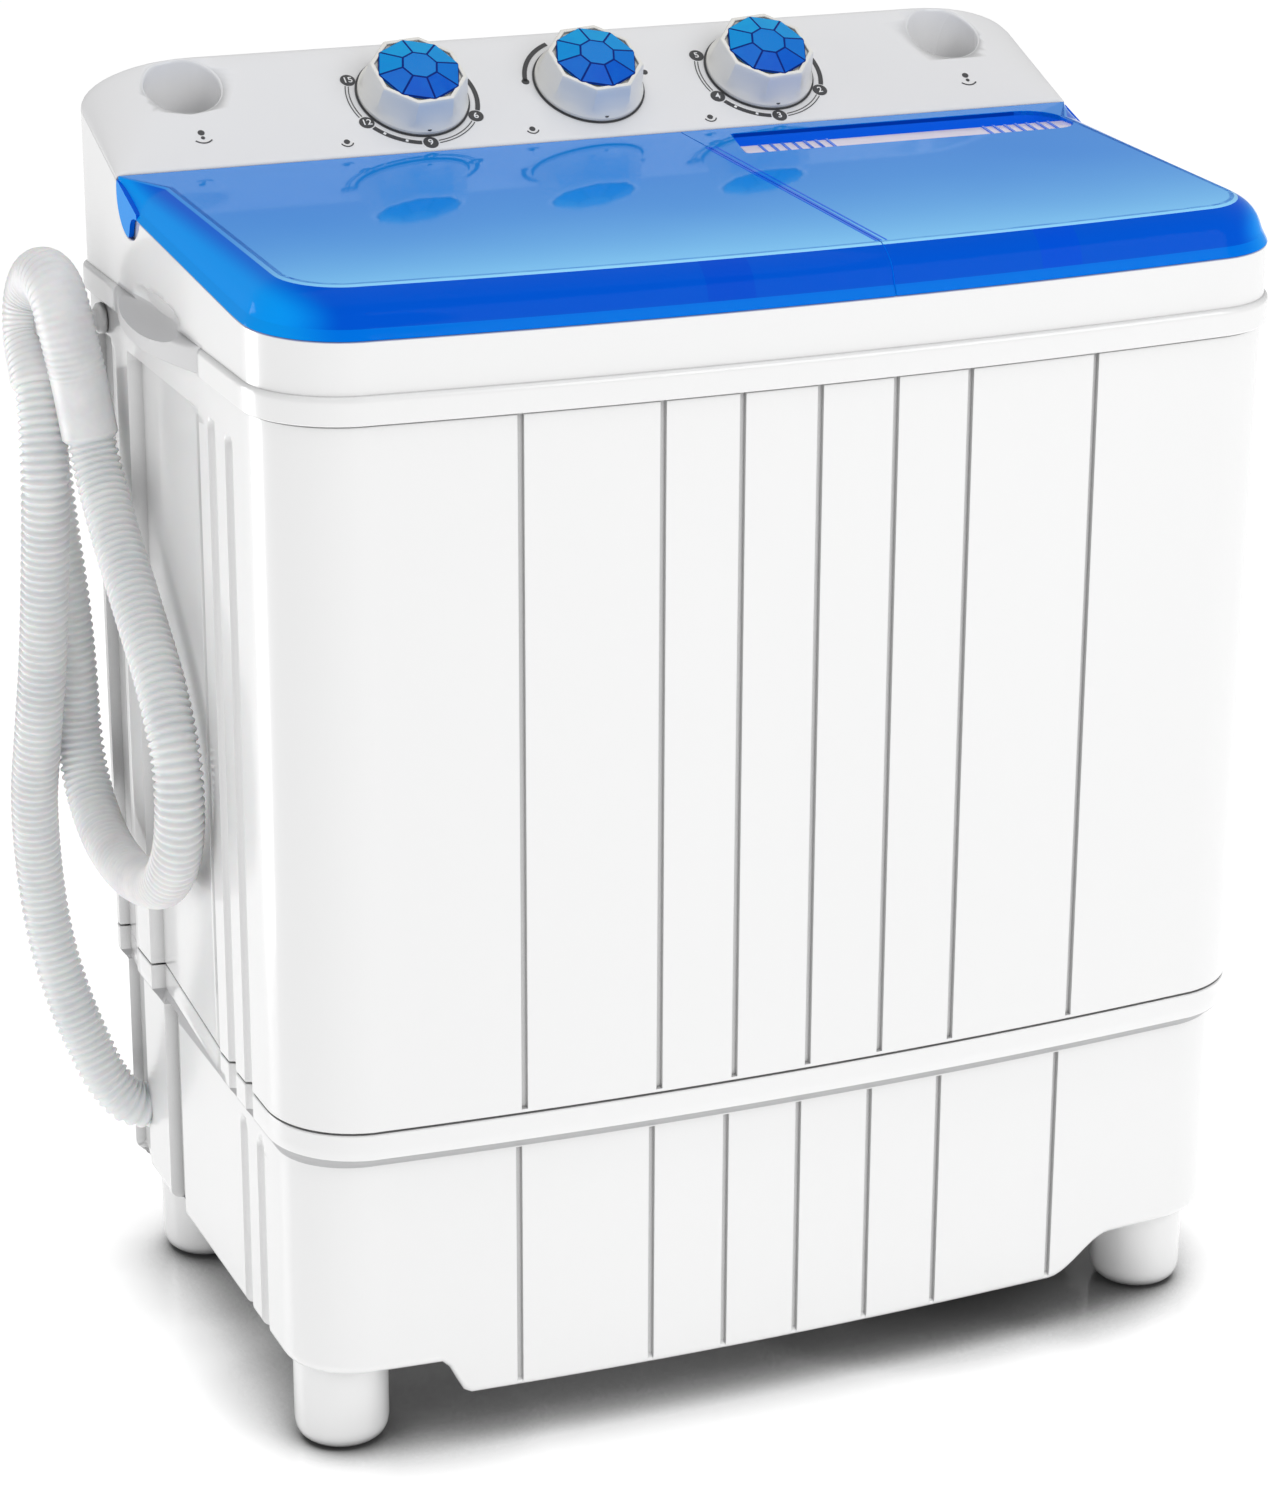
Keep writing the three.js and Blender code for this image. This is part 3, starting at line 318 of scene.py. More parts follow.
# ---------------------------------------------------------------- materials
def srgb(*values):
    """A screen colour of 0 to 255 values as linear light."""
    linear = [v / 255 / 12.92 if v <= 10 else ((v / 255 + 0.055) / 1.055) ** 2.4 for v in values]
    return (*linear, 1.0)


class Nodes:
    """A node material with a Principled shader, built a node at a time."""

    def __init__(self, name):
        self.material = bpy.data.materials.new(name)
        self.material.use_nodes = True
        self.tree = self.material.node_tree
        self.shader = self.tree.nodes["Principled BSDF"]
        self.place = self.new("ShaderNodeTexCoord").outputs["Object"]

    def new(self, kind, **settings):
        node = self.tree.nodes.new(kind)
        for key, value in settings.items():
            setattr(node, key, value)
        return node

    def link(self, source, target):
        if hasattr(source, "is_output"):
            self.tree.links.new(source, target)
        else:
            target.default_value = source

    def set(self, **inputs):
        for key, value in inputs.items():
            self.link(value, self.shader.inputs[key.replace("_", " ")])
        return self

    def math(self, operation, a, b=0.0, clamp=False):
        node = self.new("ShaderNodeMath", operation=operation, use_clamp=clamp)
        self.link(a, node.inputs[0])
        self.link(b, node.inputs[1])
        return node.outputs[0]

    def ramp(self, value, low, high, to_low=0.0, to_high=1.0, kind="SMOOTHSTEP"):
        node = self.new("ShaderNodeMapRange", interpolation_type=kind)
        for socket, v in zip(node.inputs, (value, low, high, to_low, to_high)):
            self.link(v, socket)
        return node.outputs[0]

    def noise(self, scale, detail=3.0, roughness=0.5, stretch=(1, 1, 1)):
        mapping = self.new("ShaderNodeMapping")
        self.link(self.place, mapping.inputs["Vector"])
        mapping.inputs["Scale"].default_value = stretch
        node = self.new("ShaderNodeTexNoise")
        self.link(mapping.outputs[0], node.inputs["Vector"])
        node.inputs["Scale"].default_value = scale
        node.inputs["Detail"].default_value = detail
        node.inputs["Roughness"].default_value = roughness
        return node.outputs["Fac"]

    def mix(self, factor, a, b):
        node = self.new("ShaderNodeMix", data_type="RGBA")
        self.link(factor, node.inputs["Factor"])
        self.link(a, node.inputs["A"])
        self.link(b, node.inputs["B"])
        return node.outputs["Result"]

    def axes(self, vector=None):
        node = self.new("ShaderNodeSeparateXYZ")
        self.link(vector or self.place, node.inputs[0])
        return node.outputs

    def bump(self, height, strength, distance):
        node = self.new("ShaderNodeBump")
        node.inputs["Strength"].default_value = strength
        node.inputs["Distance"].default_value = distance
        self.link(height, node.inputs["Height"])
        return self.set(Normal=node.outputs[0])


def plastic(name, colour, roughness, grain=900, depth=0.00004, mottle=0.012, coat=0.0, tint=0.985,
            painted_shade_reach=0, **extra):
    """Moulded plastic: fine surface grain, slow flow marks in the gloss and a slight change of shade.
    The reach given for creases is how far painted shade, drawn from ambient occlusion, darkens grooves, joints and
    recesses."""
    m = Nodes(name)
    flow = m.noise(3.5, 2, 0.5, (1, 1, 0.45))
    fine = m.noise(grain, 3, 0.6)
    darker = tuple(c * tint for c in colour[:3]) + (1.0,)
    shade = m.mix(m.ramp(flow, 0.2, 0.8), colour, darker)
    # Painted shade: ambient occlusion darkens the colour in grooves, joints and recesses close by.
    if painted_shade_reach:
        hidden = m.new("ShaderNodeAmbientOcclusion", samples=6)
        hidden.inputs["Distance"].default_value = painted_shade_reach * MM
        painted_crease_shade = tuple(c * 0.42 for c in colour[:3]) + (1.0,)
        shade = m.mix(m.ramp(hidden.outputs["AO"], 0.25, 0.85, kind="LINEAR"), painted_crease_shade, shade)
    m.set(Base_Color=shade)
    m.set(Roughness=m.ramp(flow, 0.2, 0.8, roughness - mottle, roughness + mottle))
    m.set(Coat_Weight=coat, Coat_Roughness=0.11, **extra)
    m.bump(fine, 0.5, depth)
    return m.material


def metal(name, colour, roughness, stretch=(1, 1, 14), scratch=260):
    """Worked metal with fine lines in one direction."""
    m = Nodes(name)
    lines = m.noise(scratch, 4, 0.7, stretch)
    stain = m.noise(14, 3, 0.6)
    m.set(Base_Color=m.mix(m.ramp(stain, 0.35, 0.7), colour, tuple(c * 0.82 for c in colour[:3]) + (1.0,)))
    m.set(Metallic=1.0, Roughness=m.ramp(lines, 0.3, 0.7, roughness - 0.08, roughness + 0.1))
    m.bump(lines, 0.4, 0.00003)
    return m.material


def lid_material(name, back_colour, front_colour, painted_side_colour=None, low=-165.0, high=90.0, ribs=(), gloss=0.1,
                 painted_glow=0.1):
    """Clear blue moulding, paler to the front, with what lies behind showing as bands. Painted light: faces turned
    sideways are lighter, and the colour glows a little.
    """
    m = Nodes(name)
    x, y, _ = m.axes()
    ahead = m.ramp(y, (low + SHIFT[1]) * MM, (high + SHIFT[1]) * MM, 1.0, 0.0, "LINEAR")
    fade = m.math("SUBTRACT", 1.0, m.math("POWER", ahead, 3.0))
    cloud = m.noise(5, 2, 0.5)
    fade = m.math("ADD", fade, m.ramp(cloud, 0.3, 0.7, -0.06, 0.06, "LINEAR"), True)
    colour = m.mix(fade, front_colour, back_colour)
    for left, right, shade in ribs:
        after = m.ramp(x, (left + SHIFT[0] - 0.6) * MM, (left + SHIFT[0] + 0.6) * MM)
        before = m.ramp(x, (right + SHIFT[0] + 0.6) * MM, (right + SHIFT[0] - 0.6) * MM)
        band = m.math("MULTIPLY", after, before)
        colour = m.mix(m.math("MULTIPLY", band, 0.55), colour, shade)
    # Painted light: faces turned sideways take the lighter side colour.
    if painted_side_colour:
        normal = m.new("ShaderNodeNewGeometry").outputs["Normal"]
        facing = m.math("ABSOLUTE", m.axes(normal)[0])
        colour = m.mix(m.ramp(facing, 0.25, 0.8), colour, painted_side_colour)
    m.set(Base_Color=colour, Roughness=m.ramp(cloud, 0.3, 0.7, 0.03, 0.06), Specular_IOR_Level=gloss)
    # Painted light: the lid colour glows, which brightens the lids though they are no lamp.
    m.set(Emission_Color=colour, Emission_Strength=painted_glow)
    m.bump(m.noise(30, 2, 0.5), 0.1, 0.0001)
    return m.material


def hose_material():
    m = Nodes("hose_white")
    wear = m.noise(40, 4, 0.6)
    m.set(Base_Color=m.mix(m.ramp(wear, 0.35, 0.75), srgb(240, 240, 240), srgb(228, 229, 231)))
    m.set(Roughness=m.ramp(wear, 0.3, 0.7, 0.34, 0.46), Subsurface_Weight=0.25, Subsurface_Scale=0.004)
    m.bump(m.noise(1400, 3, 0.6), 0.4, 0.00004)
    return m.material


# Where a reach for creases is given, ambient occlusion paints shade into grooves, joints, recesses and bowls.
WHITE = plastic("gloss_white", srgb(238, 238, 238), 0.3, coat=0.9, painted_shade_reach=12)
CONSOLE_WHITE = plastic("console_white", srgb(234, 234, 235), 0.34, grain=1300, coat=0.15, painted_shade_reach=6)
SATIN = plastic("satin_white", srgb(226, 228, 230), 0.45, grain=700, depth=0.00006)
HOSE = hose_material()
GREY = plastic("pale_grey", srgb(212, 217, 224), 0.36, grain=800, depth=0.00005)
STRIP = plastic("pale_lavender", srgb(232, 224, 242), 0.3, grain=1100, coat=0.2)
RUBBER = plastic("black_rubber", srgb(34, 34, 36), 0.75, grain=500, depth=0.0001, mottle=0.06, tint=0.8)
BLACK = plastic("black_plastic", srgb(38, 40, 43), 0.5, grain=650, depth=0.00008, mottle=0.05, tint=0.85)
# Dark print, also laid as the painted shadow ring round each knob's base.
DARK_PRINT_AND_SHADOW = plastic("dark_print_and_painted_shadow", srgb(66, 66, 68), 0.5, grain=2400, depth=0.00001, tint=0.85)
PRINT_WHITE = plastic("white_print", srgb(240, 240, 240), 0.5, grain=2400, depth=0.00001)
PAINT = plastic("motor_paint", srgb(92, 97, 103), 0.42, grain=420, depth=0.0001, mottle=0.06, tint=0.8)
NAVY = plastic("gem_edge", srgb(8, 44, 128), 0.5, grain=1500, depth=0.00001, Specular_IOR_Level=0.05)
KNOB_WHITE = plastic("knob_white", srgb(236, 234, 228), 0.3, grain=1300, coat=0.25, painted_shade_reach=5)
BOWL_WHITE = plastic("bowl_white", srgb(230, 230, 231), 0.28, grain=1300, coat=0.5, painted_shade_reach=20)
# Painted shade: the handles' faces get a darker, duller white for the shade that falls on them.
HANDLE_PAINTED_SHADE = plastic("handle_painted_shade", srgb(204, 204, 205), 0.55, grain=700, painted_shade_reach=9)
# Painted shade: a grey copy of the white plastic stands in for the shade on the base's undercut under its band.
PAINTED_UNDERCUT_SHADE = plastic("undercut_painted_shade", srgb(176, 176, 177), 0.5, grain=700)
STEEL = metal("brushed_steel", srgb(196, 198, 202), 0.3)
ALUMINIUM = metal("cast_aluminium", srgb(205, 207, 210), 0.42, (1, 1, 1), 420)
# Painted light on the lids: their colour glows a little, and rim and lower edge are lighter where faces turn
# sideways.
LID_TOP = lid_material("lid_top", srgb(0, 130, 222), srgb(122, 204, 252), gloss=0.1)
RIBS = ((-62, -36, srgb(0, 66, 196)), (128, 152, srgb(0, 72, 208)))
LID_RIM = lid_material("lid_rim", srgb(0, 86, 204), srgb(0, 80, 200), srgb(8, 148, 240), ribs=RIBS,
                       gloss=0.03, painted_glow=0.12)
LID_STRIP = lid_material("lid_lower_edge", srgb(0, 108, 216), srgb(0, 110, 218), srgb(10, 146, 236),
                         gloss=0.03)
LID_LINE = lid_material("lid_edge_line", srgb(40, 140, 226), srgb(150, 216, 248))
LID_DEEP = lid_material("lid_deep_blue", srgb(14, 96, 212), srgb(18, 102, 216), painted_glow=0.25)


# ---------------------------------------------------------------- body outline
class Outline:
    """Stations round the body in plan, anticlockwise from the middle of the front. side is 0 on the front and
    back and 1 on the flanks; run is the distance along a flank, equal to Y where the flank is flat."""

    def __init__(self, front_step=9.0, side_step=8.0, front_marks=(), side_marks=()):
        half = []
        tilt = math.atan(2 * CROWN / CROWN_HALF)
        reach = CROWN_HALF + FRONT_RADIUS * math.sin(tilt * 0.5)
        for x in samples(0, reach, front_step, front_marks):
            slope = 2 * CROWN * x / CROWN_HALF ** 2
            size = math.hypot(slope, 1)
            half.append((x, BODY_FRONT + CROWN * (x / CROWN_HALF) ** 2, slope / size, -1 / size, 0.0, -1e3))
        corner_y = BODY_FRONT + CROWN + FRONT_RADIUS
        for k in range(1, 15):
            a = tilt * 0.5 + (math.pi / 2 - tilt * 0.5) * k / 14
            half.append((CROWN_HALF + FRONT_RADIUS * math.sin(a), corner_y - FRONT_RADIUS * math.cos(a),
                         math.sin(a), -math.cos(a), float(smooth(k / 14)), corner_y - (14 - k) * 5.5))
        arc_y = BODY_BACK - BACK_RADIUS
        for y in samples(corner_y, arc_y, side_step, side_marks)[1:]:
            half.append((BODY_HALF, y, 1, 0, 1.0, y))
        arc = sorted(set([math.pi / 2 * k / 10 for k in range(1, 11)]
                         + [(m - arc_y) / BACK_RADIUS for m in side_marks if m > arc_y]))
        back = BODY_HALF - BACK_RADIUS
        for a in arc:
            c, s = math.cos(a), math.sin(a)
            half.append((back + BACK_RADIUS * c, arc_y + BACK_RADIUS * s, c, s,
                         1 - float(smooth(2 * a / math.pi)), arc_y + BACK_RADIUS * a))
        for x in np.linspace(back, 0, 14)[1:]:
            half.append((x, BODY_BACK, 0, 1, 0.0, 1e3))
        half = np.array(half)
        other = half[1:-1][::-1] * (-1, 1, -1, 1, 1, 1)
        self.all = np.vstack([half, other])
        self.x, self.y, self.nx, self.ny, self.side, self.run = self.all.T
        self.front = self.ny < -0.95
        self.flank = (self.run > -150) & (self.run < 400)

    def ring(self, out, z):
        """A ring of points moved out from the body by out, at height z; either may vary round the ring."""
        out = np.broadcast_to(out, self.x.shape)
        return np.stack([self.x + self.nx * out, self.y + self.ny * out, np.broadcast_to(z, self.x.shape)], 1)


def groove_depth(x, z, low, high, depth=2.4, half=1.6):
    """Depth of the upright grooves in the front at x, flat at the bottom with steep sides."""
    nearest = np.min([np.abs(np.abs(x) - g) for g in FRONT_GROOVES], axis=0)
    inside = np.clip((half + 0.15 - nearest) / 0.3, 0, 1)
    return depth * inside * np.clip((z - low) / 0.6, 0, 1) * np.clip((high - z) / 0.6, 0, 1)


def channel_depth(run, z, low, drop=0.0, depth=5.0, half=6.5):
    """Depth of the two round upright channels in each flank, with round ends."""
    total = np.zeros_like(run)
    for y, top in CHANNELS:
        end_low = low + half if low > 0 else -1e3
        along = np.clip(z, end_low, top - drop - half)
        distance = np.hypot(run - y, z - along)
        total = np.maximum(total, depth * np.sqrt(np.clip(1 - (distance / half) ** 2, 0, 1)))
    return total


def window_depth(run, z, window, low_depth, high_depth, radius=6.0):
    """Depth of a recess whose floor slopes in from its front edge to a sharp step at its back."""
    front, back, low, high = window
    middle = np.array([(front + back) / 2, (low + high) / 2])
    half = np.array([(back - front) / 2, (high - low) / 2])
    qy = np.abs(run - middle[0]) - half[0] + radius
    qz = np.abs(z - middle[1]) - half[1] + radius
    distance = np.hypot(np.maximum(qy, 0), np.maximum(qz, 0)) + np.minimum(np.maximum(qy, qz), 0) - radius
    floor = low_depth + (high_depth - low_depth) * np.clip((run - front) / (back - front), 0, 1)
    return floor * np.clip(-distance / 1.1, 0, 1)


groove_marks = [g + o for g in FRONT_GROOVES for o in (-1.75, -1.45, 0, 1.45, 1.75) if g + o >= 0]
channel_marks = [c[0] + 6.5 * o for c in CHANNELS
                 for o in (-1.02, -0.97, -0.88, -0.7, -0.45, -0.2, 0, 0.2, 0.45, 0.7, 0.88, 0.97, 1.02)]
recess_marks = [RECESS[0] - 0.2, RECESS[0] + 1, *np.arange(86, 97, 2), RECESS[1] - 1.1, RECESS[1],
                REAR_RECESS[0], REAR_RECESS[0] + 1, REAR_RECESS[1] - 1.1, REAR_RECESS[1]]
slot_marks = [BASE_SLOT[0], BASE_SLOT[0] + 1, BASE_SLOT[1] - 1.1, BASE_SLOT[1],
              BASE_REAR_SLOT[0], BASE_REAR_SLOT[0] + 1, BASE_REAR_SLOT[1] - 1.1, BASE_REAR_SLOT[1]]


def upper_depth(outline, z):
    """How far the cabinet's face lies in from the plain outline at height z."""
    run = outline.run
    deep = channel_depth(run, z, 0)
    deep = np.maximum(deep, window_depth(run, z, RECESS, 0.8, 8.0))
    deep = np.maximum(deep, window_depth(run, z, REAR_RECESS, 0.5, 6.0))
    return np.where(outline.flank, deep, 0.0)


def add_cabinet():
    outline = Outline(9, 8, groove_marks, channel_marks + recess_marks)
    heights = [(SEAM + 0.3, -2.6), (SEAM + 0.35, -0.5), (SEAM + 0.9, 0)]
    plain = [203.6, 204.2, 206, 212, *range(224, 545, 16), *np.arange(545, 564.1, 1.25), 568, 574]
    heights += [(z, 0) for z in plain] + [(CABINET_TOP - 0.8, 0), (CABINET_TOP, -0.8)]
    rings = []
    for z, out in heights:
        deep = upper_depth(outline, z) + np.where(outline.front, groove_depth(outline.x, z, 203.6, 590), 0)
        rings.append(outline.ring(out - deep, z))
    for z, out in reversed(heights):
        rings.append(outline.ring(-upper_depth(outline, z) - 3.4, z))
    solid = Solid().grid(np.array(rings), wrap_rows=True)
    make("cabinet_shell", solid, WHITE, replaces=["cabinet"], sharp=32)


def add_base():
    outline = Outline(9, 8, groove_marks + [165, 169, *range(173, 210, 4)], channel_marks + recess_marks
                      + slot_marks)
    inset = 10.5 - 5.0 * outline.side
    lifted = np.abs(outline.x) - np.where(outline.x < 0, 190, 165)
    low = 33 + 21 * smooth(lifted / np.where(outline.x < 0, 15, 40))
    low = np.where(outline.side > 0, 54.0, low)
    step = 6.0

    def wall(z):
        """Inset of the base's wall at height z, features included."""
        deep = channel_depth(outline.run, z, 50, drop=392)
        deep = np.maximum(deep, window_depth(outline.run, z, BASE_SLOT, 0.8, 7.5))
        deep = np.maximum(deep, window_depth(outline.run, z, BASE_REAR_SLOT, 0.8, 6))
        grooves = groove_depth(outline.x, z, 37, 177)
        return inset + np.where(outline.flank, deep, 0) + np.where(outline.front, grooves, 0)

    rings = [outline.ring(-inset - 9, 54.4), outline.ring(-inset - 7, np.minimum(low + 3, 54.3))]
    for k in range(6):
        a = math.pi / 2 * k / 5
        z = low + step * (1 - math.cos(a))
        rings.append(outline.ring(-wall(z) - step * (1 - math.sin(a)), z))
    for share in (0.35, 0.7):
        z = low + step + (63 - low - step) * share
        rings.append(outline.ring(-wall(z), z))
    for z in [63, 68, 80, *range(92, 156, 12), *np.arange(158, 170, 1.5), 172, 175, 176.4, 177, 177.6]:
        rings.append(outline.ring(-wall(z), z))
    for z, share in ((178.6, 0.08), (181.9, 0.45), (182.1, 0.5), (185.2, 0.92)):
        rings.append(outline.ring(-(wall(z) * (1 - share) + upper_depth(outline, z) * share), z))
    for z, out in ((186, -0.25), (186.8, 0), (192, 0), (SEAM - 1.5, 0), (SEAM - 0.9, -0.5),
                   (SEAM - 0.8, -2.4), (SEAM - 0.8, -3.4)):
        rings.append(outline.ring(out - upper_depth(outline, z), z))
    rings.append(outline.ring(-inset - 12, 180))
    rings.append(outline.ring(-inset - 12, 57.8))
    solid = Solid().grid(np.array(rings), caps=True)
    stations = len(outline.x)
    rows = [face[0] // stations for face in solid.faces]
    heights = [rings[row][0][2] for row in rows]
    # The undercut faces under the band take the grey of painted shade.
    solid.slots = [1 if 177.5 < z < 185.5 and row < len(rings) - 2 else 0 for z, row in zip(heights, rows)]
    make("base_tray", solid, [WHITE, PAINTED_UNDERCUT_SHADE], replaces=["base"], sharp=32)


def centre_of(node):
    """Where a round upright node of the frame stands, in plan."""
    low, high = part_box(node)
    return (low.x + high.x) / 2 / MM - SHIFT[0], (low.y + high.y) / 2 / MM - SHIFT[1]


def add_feet():
    top = FOOT_TOP - 0.4
    profile = [(0, 0), (15, 0), (18, 0.5), (21.5, 1.8), (24, 4.2), (25.4, 7.6), (26, 12), (26, 50),
               (25.6, top), (24, top), (0, top)]
    for corner in ("front_left", "front_right", "rear_left", "rear_right"):
        node = f"foot_{corner}"
        solid = Solid().grid(turned_points(profile, 48, centre_of(node)))
        make(node + "_shell", solid, WHITE, replaces=[node], sharp=40)


def add_guard():
    profile = [(0, 8), (56, 8), (66, 8.8), (74, 11.4), (80, 16), (84, 22.5), (85.8, 30), (86, 40), (86, 53.6),
               (82, 53.6), (81.5, 34), (76, 20), (66, 13), (0, 12)]
    solid = Solid().grid(turned_points(profile, 72, centre_of("spin_motor_guard")))
    make("guard_dish", solid, WHITE, replaces=["spin_motor_guard"])


# ---------------------------------------------------------------- top frame
HOOK_FRONT = 59.0                   # Y where the lids' lower edge turns down into the hooks
WALL_BACK = 101.6                   # Y behind which the wall carries the panel
HANDLE = (-45.0, 30.0, 105.0)       # Y of each handle's front end, middle and back end
HANDLE_PROUD = 14.0
HANDLE_ROWS = 19                    # rings of the frame, from below, that belong to the handles
SCOOP = np.array([17.0, 68.0, 11.0])
DECK_LOW = 603.0
LIP_LOW = 585.3
PIN_SEAT = 2.4


def frame_wall_top(outline):
    """Height of the frame's wall: just under the lids, round the lids' hooks, then up to the panel."""
    y = outline.y
    arc = HINGE_Z - np.sqrt(np.clip((HOOK_RADIUS + 0.6) ** 2 - (y - HINGE_Y) ** 2, 0, None))
    top = np.where(y < HOOK_FRONT, lid_low(y) - 0.5, arc)
    return np.where(y < WALL_BACK, top, joint_height(np.maximum(y, 102)) - 0.15)


def frame_ring(outline, out, z):
    """Like Outline.ring, but behind the flanks the wall stands out sideways only, as the console does."""
    points = outline.ring(out, z)
    rear = outline.y > BODY_BACK - BACK_RADIUS + 0.01
    scale = (BODY_HALF + np.broadcast_to(out, outline.x.shape)) / BODY_HALF
    points[rear, 0] = (outline.x * scale)[rear]
    out = np.broadcast_to(out, outline.x.shape)
    behind = np.where(out < 0, out, np.maximum(out - 1.0, 0))
    points[rear, 1] = (outline.y + outline.ny * behind)[rear]
    return points


def handle_profile(outline):
    """How far the band stands out round the body: evenly, and swelling into a handle on each flank."""
    front, middle, back = HANDLE
    y = outline.y
    rise = 0.5 + (HANDLE_PROUD - 0.5) * np.sin(math.pi / 2 * np.clip((y - front) / (middle - front), 0, 1))
    fall = 2.5 + (HANDLE_PROUD - 2.5) * np.cos(math.pi / 2 * np.clip((y - middle) / (back - middle), 0, 1))
    on_flank = (np.abs(outline.nx) > 0.99) & (y > front - 0.2) & (y < back)
    return np.where(on_flank, np.where(y < middle, rise, fall), BAND_PROUD)


def scoop_handles(rings):
    """The finger scoop behind each handle: whatever lies inside an ellipsoid moves out to its surface."""
    for side in (-1, 1):
        centre = np.array([side * (BODY_HALF + HANDLE_PROUD), 33.0, 601.0])
        away = (rings - centre) / SCOOP
        distance = np.linalg.norm(away, axis=2, keepdims=True)
        moved = centre + away / np.maximum(distance, 1e-6) * SCOOP
        rings = np.where(distance < 1, moved, rings)
    return rings


def add_deck(solid, outline):
    """The deck under the lids, with a mouth over each tub and a lip down into it."""
    loop = np.roll(outline.ring(-1.3, 0), len(outline.x) // 2, axis=0)
    loop = [(x, y) for x, y, _ in loop if y < 101]
    wash = rounded_rectangle(-256.5, 24.5, -135.5, 69.5, 34.5)
    spin = circle(*SPIN_AXIS, 106)
    wash_lip = rounded_rectangle(-258.9, 26.9, -137.9, 71.9, 36.9)
    solid.join(flat_shape(loop, [wash, spin], DECK_LOW, DECK_TOP))
    solid.join(flat_shape(wash_lip, [wash], LIP_LOW, DECK_LOW + 1, 0.4))
    solid.join(flat_shape(circle(*SPIN_AXIS, 108.6), [spin], LIP_LOW, DECK_LOW + 1, 0.4))
    solid.box(-285, 285, 101.8, 104.6, 597, 655.3)


def add_hinge_posts(solid):
    """A post with an open seat for the lids' pins in the middle and at each end, and the wall's notches."""
    seat = [(HINGE_Y + PIN_SEAT * math.cos(a), HINGE_Z + PIN_SEAT * math.sin(a))
            for a in np.radians(np.linspace(52, -232, 16))]
    post = [(70, 600), (82.2, 600), (82.2, 651.9), *seat, (70, 651.9)]
    for x0, x1 in ((35, 47), (-274.5, -271.5), (271.5, 274.5)):
        solid.join(along_x(flat_shape(post, [], x0, x1)))
    notch = [(57, 600), (84, 600), (84, 627.5), (79.5, 629), (76.5, 637.5), (74, 638.6), (66, 640.3),
             (57, 639.6)]
    for x0, x1 in ((-284.6, -281.5), (281.5, 284.6)):
        solid.join(along_x(flat_shape(notch, [], x0, x1)))


def add_frame():
    hook_marks = [HOOK_FRONT, *np.linspace(60, 101, 22), WALL_BACK, 102.2]
    handle_marks = [-45.4, -44.9, -42, -39]
    outline = Outline(12, 3.2, (), handle_marks + hook_marks)
    proud = handle_profile(outline)
    top = frame_wall_top(outline)
    rings = [frame_ring(outline, -0.6, BAND_BOTTOM), frame_ring(outline, proud - 0.6, BAND_BOTTOM),
             frame_ring(outline, proud, BAND_BOTTOM + 0.6)]
    for z in (585, 588, 590.5, 592.6, 593.6):
        rings.append(frame_ring(outline, proud, z))
    for k in range(1, 11):
        a = math.pi / 2 * k / 10
        rings.append(frame_ring(outline, 1 + (proud - 1) * math.cos(a), 593.6 + 3.4 * math.sin(a)))
    for z in (597.6, 599, 601, 603.2, 605.4, 607.4, 609.2, 611, 613):
        rings.append(frame_ring(outline, 1.0, z))
    for share in (0.15, 0.35, 0.6, 0.85):
        rings.append(frame_ring(outline, 1.0, 613 + (top - 0.5 - 613) * share))
    rings.append(frame_ring(outline, 1.0, top - 0.5))
    rings.append(frame_ring(outline, 0.5, top))
    outer = len(rings)
    for out, z in ((-1.2, top), (-1.2, 612), (-1.2, 606), (-2.4, 594), (-2.4, BAND_BOTTOM + 1.5)):
        rings.append(frame_ring(outline, out, z))
    rings = np.array(rings)
    rings[:outer] = scoop_handles(rings[:outer])
    solid = Solid().grid(rings, wrap_rows=True)
    stations = len(outline.x)
    # The handles' faces take the handle plastic, whose darker colour is painted shade.
    on_handle = (np.abs(outline.nx) > 0.99) & (outline.y > HANDLE[0] - 1) & (outline.y < HANDLE[2] + 1)
    solid.slots = [int(on_handle[face[0] % stations] and face[0] // stations < HANDLE_ROWS)
                   for face in solid.faces]
    add_deck(solid, outline)
    add_hinge_posts(solid)
    make("frame_shell", solid, [WHITE, HANDLE_PAINTED_SHADE], replaces=["top_frame"], sharp=32)


def along_x(solid):
    """Turns a shape drawn in the first two axes into one drawn in Y and Z, with its thickness along X."""
    solid.points = [(z, x, y) for x, y, z in solid.points]
    return solid


def rod_x(solid, x0, x1, y, z, radius, sides=20, slot=0):
    rings = turned_points([(0, x0), (radius - 0.4, x0), (radius, x0 + 0.4), (radius, x1 - 0.4),
                           (radius - 0.4, x1), (0, x1)], sides)
    moved = np.stack([rings[..., 2], y + rings[..., 0], z + rings[..., 1]], -1)
    return solid.grid(moved, slot=slot)


# ---------------------------------------------------------------- console
CONSOLE_HALF = BODY_HALF + 1
BACK_EDGE = 6.0
BOWL_T = 64.0
BOWL_X = 233.5
BOWL_Y = CONSOLE_FRONT + BOWL_T * math.cos(TILT)


def console_half(y):
    over = np.clip(y - (BODY_BACK - BACK_RADIUS), 0, BACK_RADIUS)
    return CONSOLE_HALF - BACK_RADIUS + np.sqrt(BACK_RADIUS ** 2 - over ** 2)


def console_height(x, y):
    """Height of the console's face: a plane that rolls off at the sides, more so to the back."""
    x, y = np.abs(np.asarray(x, float)), np.asarray(y, float)
    half = console_half(y)
    width = np.maximum(8 + 0.72 * (y - CONSOLE_FRONT), 2)
    drop = np.maximum(0.3 * (y - 97), 0)
    share = np.clip((x - half + width) / width, 0, 1)
    height = console_top(y) - drop * (1 - np.sqrt(1 - share ** 2))
    over = np.clip((y - (BODY_BACK - BACK_EDGE)) / BACK_EDGE, 0, 1)
    height = height - BACK_EDGE * (1 - np.sqrt(1 - over ** 2))
    return np.maximum(height, joint_height(y) + 0.1)


